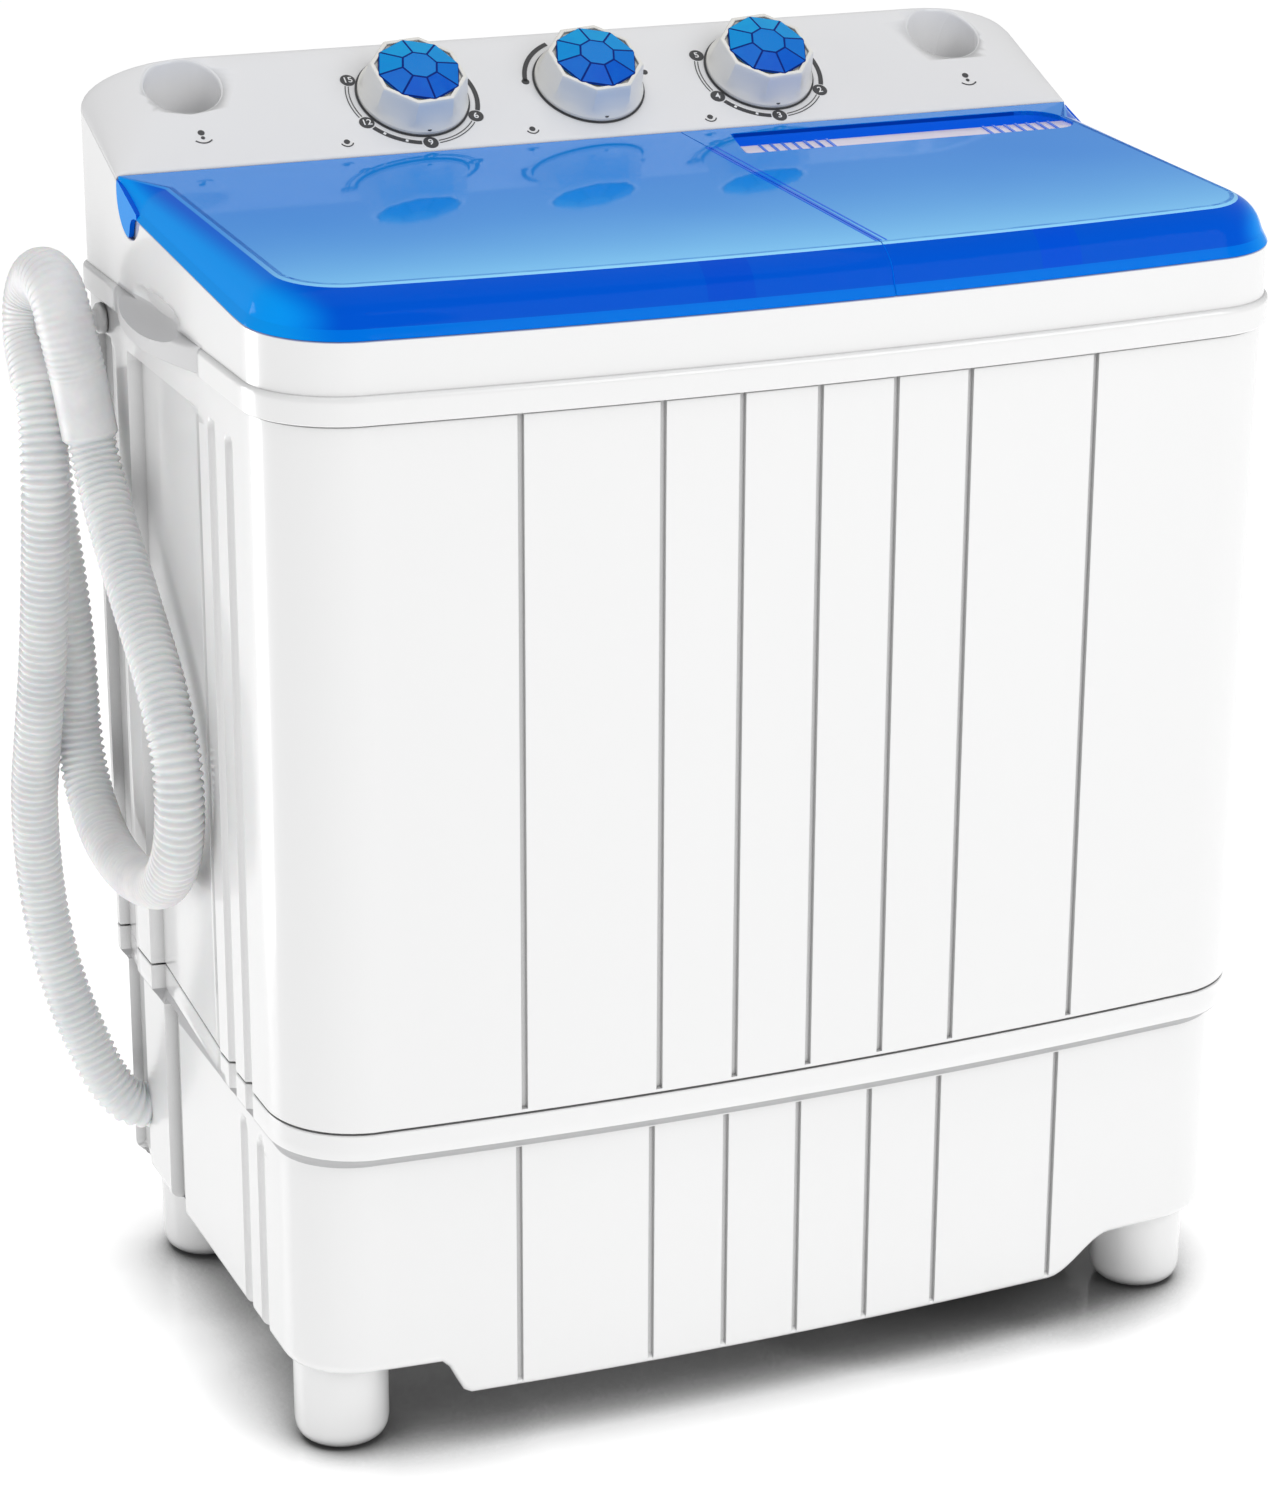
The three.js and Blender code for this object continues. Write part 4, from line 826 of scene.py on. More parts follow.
def add_panel():
    rows = [(102.3, 0.0), (100.7, 0.0), (100.4, 0.35), (100.4, 0.75), (100.7, 0.93), (101.3, 1.0)]
    rows += [(y, 1.0) for y in (103, 106, *np.arange(110, 169, 3.5))]
    rows += [(BODY_BACK - BACK_EDGE * (1 - math.sin(a)), 1.0) for a in np.linspace(0, math.pi / 2, 10)]
    rows += [(BODY_BACK, share) for share in (0.8, 0.5, 0.25, 0.0)]
    angles = np.linspace(0, 1, 13)
    points = []
    for y, share in rows:
        half = float(console_half(y))
        width = max(8 + 0.72 * (y - CONSOLE_FRONT), 2)
        right = [half - width + width * math.sin(a * math.pi / 2) for a in angles]
        flat = list(np.linspace(-(half - width), half - width, 26))[1:-1]
        across = [-half] + [-x for x in reversed(right)] + flat + right + [half]
        foot = float(joint_height(max(y, 102)))
        heights = console_height(np.array(across), y)
        heights[0] = heights[-1] = foot
        points.append([(x, y, foot + (z - foot) * share) for x, z in zip(across, heights)])
    solid = Solid().grid(np.array(points), wrap_columns=False)
    panel = make("console_panel", solid, CONSOLE_WHITE, replaces=["control_panel"],
                 sharp=40)
    thicken(panel, 2.4)
    for side in (-1, 1):
        cut_bowl_hole(panel, side)


def cut_bowl_hole(panel, side):
    column = Solid().grid(bowl_rings(side, [(22.6, 640), (22.6, 740)]), caps=True)
    cutter = make(f"bowl_cutter_{side + 1}", column, CONSOLE_WHITE)
    modifier = panel.modifiers.new("bowl", "BOOLEAN")
    modifier.operation = "DIFFERENCE"
    modifier.solver = "EXACT"
    modifier.object = cutter
    mesh = bpy.data.meshes.new_from_object(panel.evaluated_get(bpy.context.evaluated_depsgraph_get()))
    panel.modifiers.clear()
    panel.data = mesh
    bpy.data.objects.remove(cutter)


def bowl_rings(side, profile, sides=72):
    """Rings round a bowl; a height given as None lies on the console's face, less the drop that follows."""
    rings = []
    for radius, height, *drop in profile:
        a = np.arange(sides) * 2 * math.pi / sides
        x = side * BOWL_X + radius * np.cos(a)
        y = BOWL_Y + radius * math.cos(TILT) * np.sin(a)
        z = console_height(x, y) - drop[0] if height is None else np.full(sides, float(height))
        rings.append(np.stack([x, y, z], 1))
    return np.array(rings)


def add_bowls():
    profile = [(23.2, None, 2.0), (23.2, None, 0.15), (22.6, None, 0.05), (21.9, None, 0.35),
               (21.45, None, 1.0), (21.3, None, 2.2), (21.1, 676), (20.4, 672.5), (18.4, 670.6), (15, 670),
               (4.4, 669.4), (4, 668.6), (4, 666), (19.6, 668), (22.0, 672), (22.4, None, 3.0)]
    for name, side in (("left", -1), ("right", 1)):
        solid = Solid().grid(bowl_rings(side, profile), wrap_rows=True)
        make(f"bowl_{name}", solid, BOWL_WHITE, replaces=[f"inlet_bowl_{name}"],
             sharp=50)


# ---------------------------------------------------------------- knobs and dials
DIAL_T = 42.5
DIAL_X = 106.0
FACET_TURN = math.radians(28)


def octagon_radius(angles, corner):
    """Distance from the middle to the edge of an octagon, in each direction."""
    local = (angles + math.pi / 8) % (math.pi / 4) - math.pi / 8
    return corner * math.cos(math.pi / 8) / np.cos(local)


def knob_rings(profile, sides=96):
    """profile holds circle radius, octagon corner radius, share of octagon, height."""
    angles = np.arange(sides) * 2 * math.pi / sides
    turned = angles + math.pi / 8
    rings = []
    for circle_radius, corner, share, height in profile:
        radius = circle_radius * (1 - share) + octagon_radius(angles, corner) * share
        rings.append(np.stack([radius * np.cos(turned), radius * np.sin(turned), np.full(sides, height)], 1))
    return np.array(rings)


def add_knob(name, x):
    profile = [(0.01, 0.01, 0, 0.5), (31.2, 0, 0, 0.5), (31.5, 0, 0, 1.0), (31.4, 0, 0, 2.6),
               (30.9, 0, 0, 3.2), (30.4, 30.4, 0.0, 4.2), (30.0, 30.4, 0.25, 5.4), (29.8, 30.0, 0.6, 7.5),
               (29.5, 29.4, 0.9, 10.5), (29.0, 28.8, 1, 13.5), (0, 28.2, 1, 17), (0, 27.8, 1, 19.2),
               (0, 27.3, 1, 19.9), (0, 26.8, 1, 20.1), (0, 25.2, 1, 20.1), (0, 24.9, 1, 19.8),
               (0, 24.8, 1, 18.6), (0.01, 0.01, 0, 18.6)]
    skirt = on_face(knob_rings(profile), x, DIAL_T, FACET_TURN)
    make(f"{name}_grip", Solid().grid(skirt), KNOB_WHITE, body=f"{name}_knob", replaces=[f"{name}_knob"],
         sharp=24, merge=0.02)
    # Painted shadow: a dark flat ring on the panel round the knob's base stands in for the shade in the gap under
    # the skirt.
    ring = [(31.6, 0, 0, 0.2), (32.6, 0, 0, 0.2), (32.6, 0, 0, 0.45), (31.6, 0, 0, 0.45)]
    shadow_sheet = Solid().grid(on_face(knob_rings(ring), x, DIAL_T), wrap_rows=True)
    make(f"{name}_shadow_ring", shadow_sheet, DARK_PRINT_AND_SHADOW)
    dot = Solid().grid(on_face(turned_points([(0, 3.25), (1.4, 3.25), (1.4, 3.75), (0, 3.75)], 16,
                                             (0, -30.0)), x, DIAL_T))
    make(f"{name}_pointer", dot, DARK_PRINT_AND_SHADOW, body=f"{name}_knob", sharp=30)
    corners = [(24.5, 19.0), (24.5, 20.5), (10.3, 23.7)]
    gem = Solid()
    rings = []
    for radius, height in corners:
        a = math.pi / 8 + np.arange(8) * math.pi / 4
        rings.append(np.stack([radius * np.cos(a), radius * np.sin(a), np.full(8, height)], 1))
    gem.grid(on_face(np.array(rings), x, DIAL_T, FACET_TURN), caps=True)
    cap = make(f"{name}_gem", gem, [GEM, NAVY], body=f"{name}_knob", replaces=[f"{name}_cap"],
               sharp=3)
    bevel(cap, 0.6, 1, 4, 1)


def gem_material():
    m = Nodes("gem_blue")
    normal = m.axes(m.new("ShaderNodeNewGeometry").outputs["Normal"])
    # Painted light: facets turned up and back are coloured lighter than those turned to the front and down.
    light = m.ramp(normal[1], -0.72, -0.34)
    cloud = m.noise(120, 2, 0.5)
    colour = m.mix(light, srgb(8, 92, 206), srgb(14, 160, 224))
    m.set(Base_Color=m.mix(m.ramp(cloud, 0.3, 0.8, 0, 0.25), colour, srgb(14, 124, 216)))
    m.set(Roughness=m.ramp(cloud, 0.3, 0.7, 0.1, 0.16), Specular_IOR_Level=0.12)
    m.bump(m.noise(60, 2, 0.5), 0.1, 0.0001)
    return m.material


GEM = gem_material()
PRINT_TOP = 0.28            # how far the dials' marks stand off the console
DIAL_RADIUS = 37.0
BAND = 2.6                  # width of a dial's broad arcs
TIMER_PLACES = (154, -151, -91, -31)


def round_dial(x, angle):
    """A place on the circle of a dial's marks."""
    a = math.radians(angle)
    return x + DIAL_RADIUS * math.cos(a), DIAL_T + DIAL_RADIUS * math.sin(a)


def sector(x, t, radius, width, start, end, top=PRINT_TOP):
    """A flat arc on the console's face, its angles in degrees anticlockwise from the right."""
    steps = max(2, int(abs(end - start) / 3))
    angles = np.radians(np.linspace(start, end, steps + 1))
    section = [(radius - width / 2, -0.1), (radius + width / 2, -0.1), (radius + width / 2, top),
               (radius - width / 2, top)]
    rings = np.array([[(r * math.cos(a), r * math.sin(a), w) for r, w in section] for a in angles])
    return Solid().grid(on_face(rings, x, t), caps=True)


def disc(x, t, radius, top=PRINT_TOP):
    profile = [(0, -0.1), (radius, -0.1), (radius, top), (0, top)]
    return Solid().grid(on_face(turned_points(profile, 28), x, t))


def digits(text, x, t, size):
    curve = bpy.data.curves.new("digits", "FONT")
    curve.body = text
    curve.size = size
    curve.extrude = 0.1
    curve.offset = 0.08
    curve.align_x = "CENTER"
    curve.align_y = "CENTER"
    solid = solid_from_curve(curve, PRINT_TOP)
    solid.points = [tuple(p) for p in on_face(np.array(solid.points), x, t)]
    return solid


def gather(solids):
    whole = Solid()
    for part in solids:
        whole.join(part)
    return whole


def add_timer_dial(name, x, numbers):
    dark = []
    light = []
    for text, angle in zip(numbers, TIMER_PLACES):
        place = round_dial(x, angle)
        dark.append(disc(*place, 4.3))
        light.append(digits(text, *place, 6.0))
    for low, high in ((162, 201), (-83, -39)):
        for radius in (DIAL_RADIUS - 0.9, DIAL_RADIUS + 0.9):
            dark.append(sector(x, DIAL_T, radius, 0.45, low, high))
    for low, high in ((-143, -99), (-23, 16)):
        dark.append(sector(x, DIAL_T, DIAL_RADIUS, BAND, low, high))
    for angle in (-132, -112):
        light.append(sector(x, DIAL_T, DIAL_RADIUS, 1.6, angle - 1.2, angle + 1.2, PRINT_TOP + 0.1))
    make(f"{name}_scale", gather(dark), DARK_PRINT_AND_SHADOW, sharp=30)
    make(f"{name}_numbers", gather(light), PRINT_WHITE, sharp=30)


def icon(x, t):
    """A small general mark: a dot over a smaller one, with an arc under them."""
    return [disc(x, t + 2.4, 1.9), disc(x, t - 1.6, 1.1), sector(x, t + 0.4, 6.0, 0.7, -140, -40)]


def add_dials():
    for name, x in (("wash_timer", -DIAL_X), ("wash_selector", 0), ("spin_timer", DIAL_X)):
        add_knob(name, x)
    add_timer_dial("wash_timer", -DIAL_X, ("15", "12", "9", "6"))
    add_timer_dial("spin_timer", DIAL_X, ("5", "4", "3", "2"))
    marks = [sector(0, DIAL_T, DIAL_RADIUS, BAND, 113, 172), disc(*round_dial(0, 172), 2.2),
             disc(*round_dial(0, 9), 1.9)]
    for side in (-1, 1):
        marks += icon(side * 233, 24)
    for x, t in ((-154, 11), (-45, 10), (63, 8.6)):
        marks.append(disc(x, t, 1.7))
        marks.append(sector(x, t, 3.6, 0.6, 200, 340))
    make("panel_marks", gather(marks), DARK_PRINT_AND_SHADOW, sharp=30)


# ---------------------------------------------------------------- lids
LID_WALL = 2.6
RIM_WIDTH = 19.0
TOP, RIM, LOWER, LINE, DEEP = range(5)      # the lids' material numbers
# The rim's section: distance in from the edge, share of the way up, and material or drop below the outside.
RIM_OUTER = ((0.0, 0.0, LOWER), (0.5, 0.05, LOWER), (1.4, 0.12, LOWER), (2.3, 0.195, LOWER), (2.7, 0.225, RIM),
             (3.6, 0.32, RIM), (4.8, 0.46, RIM), (6.4, 0.6, RIM), (8.6, 0.72, RIM), (11.4, 0.83, RIM),
             (14.4, 0.91, RIM), (17.0, 0.965, LINE), (18.2, 0.99, LINE), (RIM_WIDTH, 1.0, TOP),
             (RIM_WIDTH + 2.5, 1.0, TOP))
RIM_INNER = ((RIM_WIDTH + 2.5, 1.0, LID_WALL), (17.5, 0.97, 3.4), (10.0, 0.66, 3.2), (6.0, 0.4, 2.0),
             (3.6, 0.12, 0), (2.6, 0.0, 0))
GRIP = (55.5, 267.0, 40.0, 87.0)        # left, right, front and back of the spin lid's hand grip
GRIP_FLOOR = 647.0
GRIP_ROUND = 16.0
STRIP_DEPTH = 24.0
LEAN_START = 66.0           # Y behind which the rim stands up more and more steeply
SEAM_STATIONS = 22
HOOK_NOTCH = [(64, 641.0), (69.5, 640.4), (73.5, 639.2), (76, 636.9), (77.6, 633.4), (79, 629.6),
              (80.6, 628.2)]
PIN_RADIUS = 2.0


def lid_path(side, seam):
    """Stations round a lid from its seam, along the front, round the corner and back along the side.
    Each holds X, Y and the direction in which the rim leans, scaled by how far it leans there."""
    half = BODY_HALF + LID_PROUD
    front = BODY_FRONT - LID_PROUD
    radius = FRONT_RADIUS + LID_PROUD
    corner = half - radius
    stations = []
    for y in np.linspace(60, front, 24)[:-1]:
        stations.append((seam, y, 0.0, (60 - y) / (60 - front)))
    run = corner - side * seam
    for x in np.linspace(seam, side * corner, max(6, int(run / 10))):
        stations.append((x, front + CROWN * (x / CROWN_HALF) ** 2, 0.0, 1.0))
    centre_y = front + CROWN + radius
    for a in np.linspace(0, math.pi / 2, 15)[1:]:
        stations.append((side * (corner + radius * math.sin(a)), centre_y - radius * math.cos(a),
                         -side * math.sin(a), math.cos(a)))
    for y in [*np.linspace(centre_y, 60, 20)[1:], *np.linspace(62, LID_BACK, 20)]:
        lean = 1 - 0.94 * np.clip((y - LEAN_START) / (LID_BACK - LEAN_START), 0, 1)
        stations.append((side * half, y, -side * lean, 0.0))
    return stations


def lid_rim(side, seam):
    rings = []
    ends = []
    for x, y, dx, dy in lid_path(side, seam):
        low = float(lid_low(y))
        ring = []
        for inward, share, _ in RIM_OUTER:
            px, py = x + dx * inward, y + dy * inward
            ring.append((px, py, low + (lid_top(py) - low) * share))
        ends.append(ring[-2])
        for inward, share, drop in RIM_INNER:
            px, py = x + dx * inward, y + dy * inward
            if dx == 0 and dy < 0.999:
                px += side * LID_WALL
            ring.append((px, py, low + (lid_top(py) - low) * share - drop))
        rings.append(ring)
    return np.array(rings), ends


def add_rim(solid, rings):
    stations, profile = rings.shape[:2]
    faces = grid_faces(stations, profile)
    solid.add(rings.reshape(-1, 3), faces)
    for index, face in enumerate(faces):
        station, row = face[0] // profile, face[0] % profile
        outside = row < len(RIM_OUTER) - 1 and station >= SEAM_STATIONS
        solid.slots[index] = RIM_OUTER[row][2] if outside else DEEP
    for end in (rings[0], rings[-1]):
        solid.add(end, [tuple(range(profile))], DEEP)


def add_seam_line(solid, x0, x1):
    """A low line along the seam between the lids, lying on the sloping top."""
    corners = ((x0, -155), (x1, -155), (x1, 60), (x0, 60))
    solid.add([(x, y, lid_top(y) + z) for z in (-1.0, 0.22) for x, y in corners], BOX_FACES, DEEP)


def add_hinge(solid, side):
    """A hook at the lid's outer corner, and at both ends a lug with a pin toward the frame's post."""
    hook = HOOK_NOTCH + [(HINGE_Y + HOOK_RADIUS * math.cos(a), HINGE_Z + HOOK_RADIUS * math.sin(a))
                         for a in np.radians(np.linspace(-84, 8, 22))]
    hook += [(LID_BACK, 655.8), (64, 643.5)]
    outer = side * (BODY_HALF + LID_PROUD)
    solid.join(along_x(flat_shape(hook, [], *sorted((outer, outer - side * LID_WALL)))), RIM)
    inner_lug, inner_pin = ((29.5, 32.5), (32, 40)) if side < 0 else ((49.5, 52.5), (42, 50))
    outer_lug, outer_pin = sorted((side * 276, side * 279)), sorted((side * 271, side * 277))
    low = HINGE_Z - 4
    solid.box(*inner_lug, HINGE_Y - 5, HINGE_Y + 5, low, 655.4, DEEP)
    rod_x(solid, *inner_pin, HINGE_Y, HINGE_Z, PIN_RADIUS, slot=DEEP)
    solid.box(*outer_lug, HINGE_Y - 3, HINGE_Y + 5, low, 653.6, DEEP)
    rod_x(solid, *outer_pin, HINGE_Y, HINGE_Z, PIN_RADIUS, slot=DEEP)


def lid_solid(side, holes=()):
    """A lid on one side of the seam: rim, sloping top, seam lines and hinge."""
    seam = LID_SEAM + side * 0.4
    rings, edge = lid_rim(side, seam)
    solid = Solid()
    add_rim(solid, rings)
    loop = [(x, y) for x, y, _ in edge]
    loop += [(side * (BODY_HALF + LID_PROUD) - side * 1.2, LID_BACK), (seam, LID_BACK), (seam, 61)]
    plate = flat_shape(loop, holes, 0, LID_WALL)
    solid.add([(x, y, lid_top(y) - LID_WALL + z) for x, y, z in plate.points], plate.faces, TOP)
    for offset, width in ((0.0, 1.5), (3.6, 0.9))[:1 if side < 0 else 2]:
        add_seam_line(solid, *sorted((seam + side * offset, seam + side * (offset + width))))
    add_hinge(solid, side)
    return solid


def make_lid(body, solid):
    materials = [LID_TOP, LID_RIM, LID_STRIP, LID_LINE, LID_DEEP]
    make(f"{body}_shell", solid, materials, body=body, replaces=[body], sharp=50,
         flat=(TOP,))


def add_lids():
    make_lid("wash_lid", lid_solid(-1))
    left, right, front, back = GRIP
    pocket = grip_outline(left, right, front, back)
    solid = lid_solid(1, [pocket])
    wall = flat_shape(grip_outline(left - 2, right + 2, front - 2, back + 2), [pocket], 0, 1)
    points = [(x, y, GRIP_FLOOR - 2 if z < 0.5 else lid_top(y) - 0.4) for x, y, z in wall.points]
    solid.add(points, wall.faces, DEEP)
    tray = grip_outline(left - 1, right + 1, front - 1, back + 1)
    solid.join(flat_shape(tray, [], GRIP_FLOOR - 2, GRIP_FLOOR), DEEP)
    make_lid("spin_lid", solid)


def add_grip():
    """The pale strip along the front of the spin lid's hand grip, with slanted blue ribs at both ends."""
    left, right, front, _ = GRIP
    round_x, round_y = right - GRIP_ROUND, front + GRIP_ROUND
    reach = GRIP_ROUND - 0.4
    end = [(round_x + reach * math.sin(a), round_y - reach * math.cos(a))
           for a in np.linspace(0, math.pi / 2, 9)]
    back = front + STRIP_DEPTH
    outline = [(left + 1.2, front + 0.4), *end, (right - 0.4, back), (left + 6.4, back)]
    strip = flat_shape(outline, [], GRIP_FLOOR + 0.3, lid_top(front) - 1, 0.5)
    make("grip_strip", strip, STRIP, body="spin_lid", replaces=["spin_lid_strip"],
         sharp=50)
    ribs = Solid()
    top = lid_top(front) - 0.4
    width, lean = 1.5, 4.6
    for start in (68, 209):
        for x in range(start, start + 49, 7):
            plan = ((x, 40.6), (x + width, 40.6), (x + lean + width, 63.6), (x + lean, 63.6))
            ribs.add([(px, py, z) for z in (GRIP_FLOOR + 1, top) for px, py in plan], BOX_FACES)
    make("grip_ribs", ribs, LID_DEEP, body="spin_lid", sharp=30)


def grip_outline(left, right, front, back):
    """Slanted with small rounds at the left, and well rounded at the right."""
    points = []
    corners = ((right, front, -90, GRIP_ROUND), (right, back, 0, 20), (left + 10, back, 90, 3),
               (left, front, 180, 3))
    for x, y, start, radius in corners:
        cx = x - math.copysign(radius, x - (left + right) / 2)
        cy = y - math.copysign(radius, y - (front + back) / 2)
        for k in range(9):
            a = math.radians(start + 90 * k / 8)
            points.append((cx + radius * math.cos(a), cy + radius * math.sin(a)))
    return points


# ---------------------------------------------------------------- drain hose and hook
HOSE_PATH = [
    (-42, 116, 202), (-70, 132, 180), (-120, 142, 140), (-200, 146, 108), (-262, 144, 93), (-288, 141, 96),
    (-301, 146, 110), (-311, 155, 135), (-319, 161, 161), (-326, 168, 195), (-330, 172, 235), (-333, 165, 285),
    (-332, 153, 330), (-330, 143, 375), (-329, 132, 430), (-328, 125, 490), (-325, 140, 535), (-323, 161, 562),
    (-321, 163, 580), (-319.5, 153, 593), (-318.5, 139, 597), (-317, 124, 591), (-315, 115, 574),
    (-310, 112, 545), (-305, 104, 503), (-303.5, 76, 468), (-303, 36, 435), (-303, -6, 400), (-303, -28, 365),
    (-303, -26, 325), (-303, 0, 292), (-303, 38, 276), (-304, 82, 270), (-304.5, 122, 276), (-305, 150, 295),
    (-305.5, 164, 325), (-306, 167, 360), (-308, 168, 400), (-312, 172, 450), (-314, 178, 500),
    (-314, 180, 530)]
HOSE_PITCH = 4.6
HOSE_SLEEVE_PITCH = 3.7
HOSE_SLEEVE = (-325, 140, 535), (-306, 106, 512)     # where the wider sleeve over the hook starts and ends
CUFF = 34.0
HOSE_BORE = 10.8            # radius inside
HOSE_SIDES = 28
BORE_STEP = 12              # points of the path from one ring of the bore to the next


def add_hose():
    path, along = smooth_path(HOSE_PATH, HOSE_PITCH / 7)
    place = [float(along[np.argmin(np.linalg.norm(path - p, axis=1))]) for p in np.array(HOSE_SLEEVE)]
    wave = np.cos(2 * math.pi * along / HOSE_PITCH)
    ribbed = 12.75 + 0.95 * np.sign(wave) * np.abs(wave) ** 0.7
    ridge = np.cos(2 * math.pi * along / HOSE_SLEEVE_PITCH)
    plain_end = smooth((place[1] - CUFF - along) / 3)
    sleeve = 15.5 + 0.32 * ridge * plain_end
    on_sleeve = smooth((along - place[0]) / 2.5) * smooth((place[1] - along) / 2.5)
    radii = ribbed * (1 - on_sleeve) + sleeve * on_sleeve
    outer = sweep(path, radii, HOSE_SIDES)
    keep = list(range(0, len(path) - 1, BORE_STEP)) + [len(path) - 1]
    bore = sweep(path, np.full(len(path), HOSE_BORE), HOSE_SIDES)[keep]
    solid = Solid().grid(np.concatenate([outer, bore[::-1]]), wrap_rows=True)
    make("hose_ribbed", solid, HOSE, replaces=["drain_hose"], sharp=70)


def add_hose_hook():
    peg_y, peg_z = 140, 571
    profile = [(0, -287.0), (8.4, -287.0), (8.8, -287.6), (8.4, -290.5), (7, -291.6), (5.6, -292.4),
               (5.2, -295), (5.2, -319), (5.8, -320.4), (7, -321), (7.4, -322), (7.2, -324), (6, -325),
               (0, -325)]
    rings = turned_points(profile, 32)
    moved = np.stack([rings[..., 2], peg_y + rings[..., 0], peg_z + rings[..., 1]], -1)
    make("hook_peg", Solid().grid(moved), WHITE, replaces=["hose_hook"], sharp=50)


# ---------------------------------------------------------------- back of the machine
def add_service_cover():
    holes = [rounded_rectangle(x, x + 88, z, z + 3.4, 1.6, 4) for x in (-112, 24) for z in range(92, 155, 9)]
    plate = flat_shape(rounded_rectangle(-158, 158, 68, 176, 8), holes, 0, 2.5, 0.5)
    plate.points = [(x, 168.3 - z, y) for x, y, z in plate.points]
    inside = rounded_rectangle(-147, 147, 87, 159, 5)
    rim = flat_shape(rounded_rectangle(-150, 150, 84, 162, 6), [inside], 0, 1.2, 0.4)
    plate.add([(x, 169.3 - z, y) for x, y, z in rim.points], rim.faces)
    make("service_panel", plate, WHITE, replaces=["service_cover"], sharp=40)


CORD_PATH = [(205, 150, 110), (205, 172, 110), (205, 184, 98), (214, 186, 72), (216, 187, 44), (194, 188, 27),
             (166, 188, 32), (151, 187, 58), (148, 187, 90), (150, 187, 118)]


def add_cord():
    path, along = smooth_path(CORD_PATH, 1.6)
    total = along[-1]
    strain = np.clip(1 - np.abs(along - (total - 9)) / 12, 0, 1)
    grommet = np.clip(1 - np.abs(along - 18) / 6, 0, 1)
    rings = 0.5 + 0.5 * np.cos(2 * math.pi * along / 4.2)
    radii = 3.5 + 2.2 * strain * (0.6 + 0.4 * rings) + 3.0 * np.round(grommet)
    make("cord_black", Solid().grid(sweep(path, radii, 20), caps=True), RUBBER, replaces=["power_cord"],
         sharp=60)
    x, y, z = 150, 187, 119.5
    body = flat_shape(rounded_rectangle(-11, 11, -8, 8, 4), [], z, z + 24, 1.4)
    body.points = [(x + a * (1 - 0.12 * (1 - (c - z) / 24)), y + b * (0.8 + 0.2 * (c - z) / 24), c)
                   for a, b, c in body.points]
    make("plug_body", body, BLACK, replaces=["power_plug"], sharp=50)
    blades = [rounded_rectangle(x + a - 0.8, x + a + 0.8, y - 3, y + 3, 0.6, 3) for a in (-6.2, 6.2)]
    pins = gather([flat_shape(blade, [], z + 22, z + 42, 0.3) for blade in blades])
    make("plug_pins", pins, STEEL, sharp=50)


# ---------------------------------------------------------------- tubs
def tub_ring(inset, z, flutes=0.0):
    """A ring of the wash tub's rounded outline with shallow upright flutes."""
    points = np.array(rounded_rectangle(-262 + inset, 30 - inset, -141 + inset, 75 - inset, 40 - inset, 12))
    dense = []
    for k, point in enumerate(points):
        after = points[(k + 1) % len(points)]
        steps = max(1, int(np.linalg.norm(after - point) / 4))
        dense += [point + (after - point) * s / steps for s in range(steps)]
    dense = np.array(dense)
    inward = np.array(WASH_AXIS) - dense
    inward /= np.linalg.norm(inward, axis=1)[:, None]
    ripple = flutes * (0.5 - 0.5 * np.cos(np.arange(len(dense)) * 2 * math.pi / 6))
    dense = dense + inward * ripple[:, None]
    return np.column_stack([dense, np.full(len(dense), z)])


def add_tubs():
    solid = Solid()
    outside = ((26, 232), (12, 233), (3, 240), (0, 252), (0, 400), (0, 580), (-6, 581.9), (-6, 584.6),
               (0, 584.8))
    inside = ((3.0, 583), (3.0, 560), (3.0, 550, 1.6), (3.0, 420, 1.6), (3.0, 300, 1.6), (3.2, 290),
              (3.4, 256), (6, 243), (14, 236.5), (26, 235))
    solid.grid(np.array([tub_ring(*ring) for ring in outside + inside]), caps=True)
    profile = [(20, 285), (105, 285), (112, 288), (115, 296), (115, 581), (121, 582), (121, 584.8),
               (112.5, 584.8), (112, 582), (112, 298), (109, 291), (100, 288), (20, 288)]
    solid.grid(turned_points(profile, 96, SPIN_AXIS), wrap_rows=True)
    mouths = [rounded_rectangle(-262, 30, -141, 75, 40), circle(*SPIN_AXIS, 115)]
    solid.join(flat_shape(rounded_rectangle(-278, 278, -158, 168, 26), mouths, 582.0, 584.6, 0.3))
    make("tub_shell", solid, SATIN, replaces=["tub_body"], sharp=40)


def add_pulsator():
    solid = Solid()
    sides = 144
    angles = np.arange(sides) * 2 * math.pi / sides
    rows = []
    profile = [(0.01, 237), (84, 237), (86, 238.6), (86, 240), (84.6, 241.4), (80, 242.2), (70, 243.6),
               (60, 245.4), (50, 248), (40, 251), (30, 255), (24, 257.6), (16, 258.8), (0.01, 259)]
    for radius, height in profile:
        swirl = angles - 0.35 * (radius / 86)
        vane = np.clip((np.cos(4 * swirl) - 0.78) / 0.2, 0, 1)
        lift = 11 * smooth(vane) * smooth((radius - 14) / 16) * smooth((82 - radius) / 10)
        lift = lift if height > 240 else 0
        rows.append(np.stack([WASH_AXIS[0] + radius * np.cos(angles), WASH_AXIS[1] + radius * np.sin(angles),
                              height + lift * np.ones(sides)], 1))
    solid.grid(np.array(rows))
    button = [(0, 257), (12.5, 257), (12.5, 259.2), (11.1, 260.4), (0, 260.8)]
    solid.grid(turned_points(button, 48, WASH_AXIS))
    make("pulsator_disc", solid, GREY, body="pulsator", replaces=["pulsator"], sharp=45)


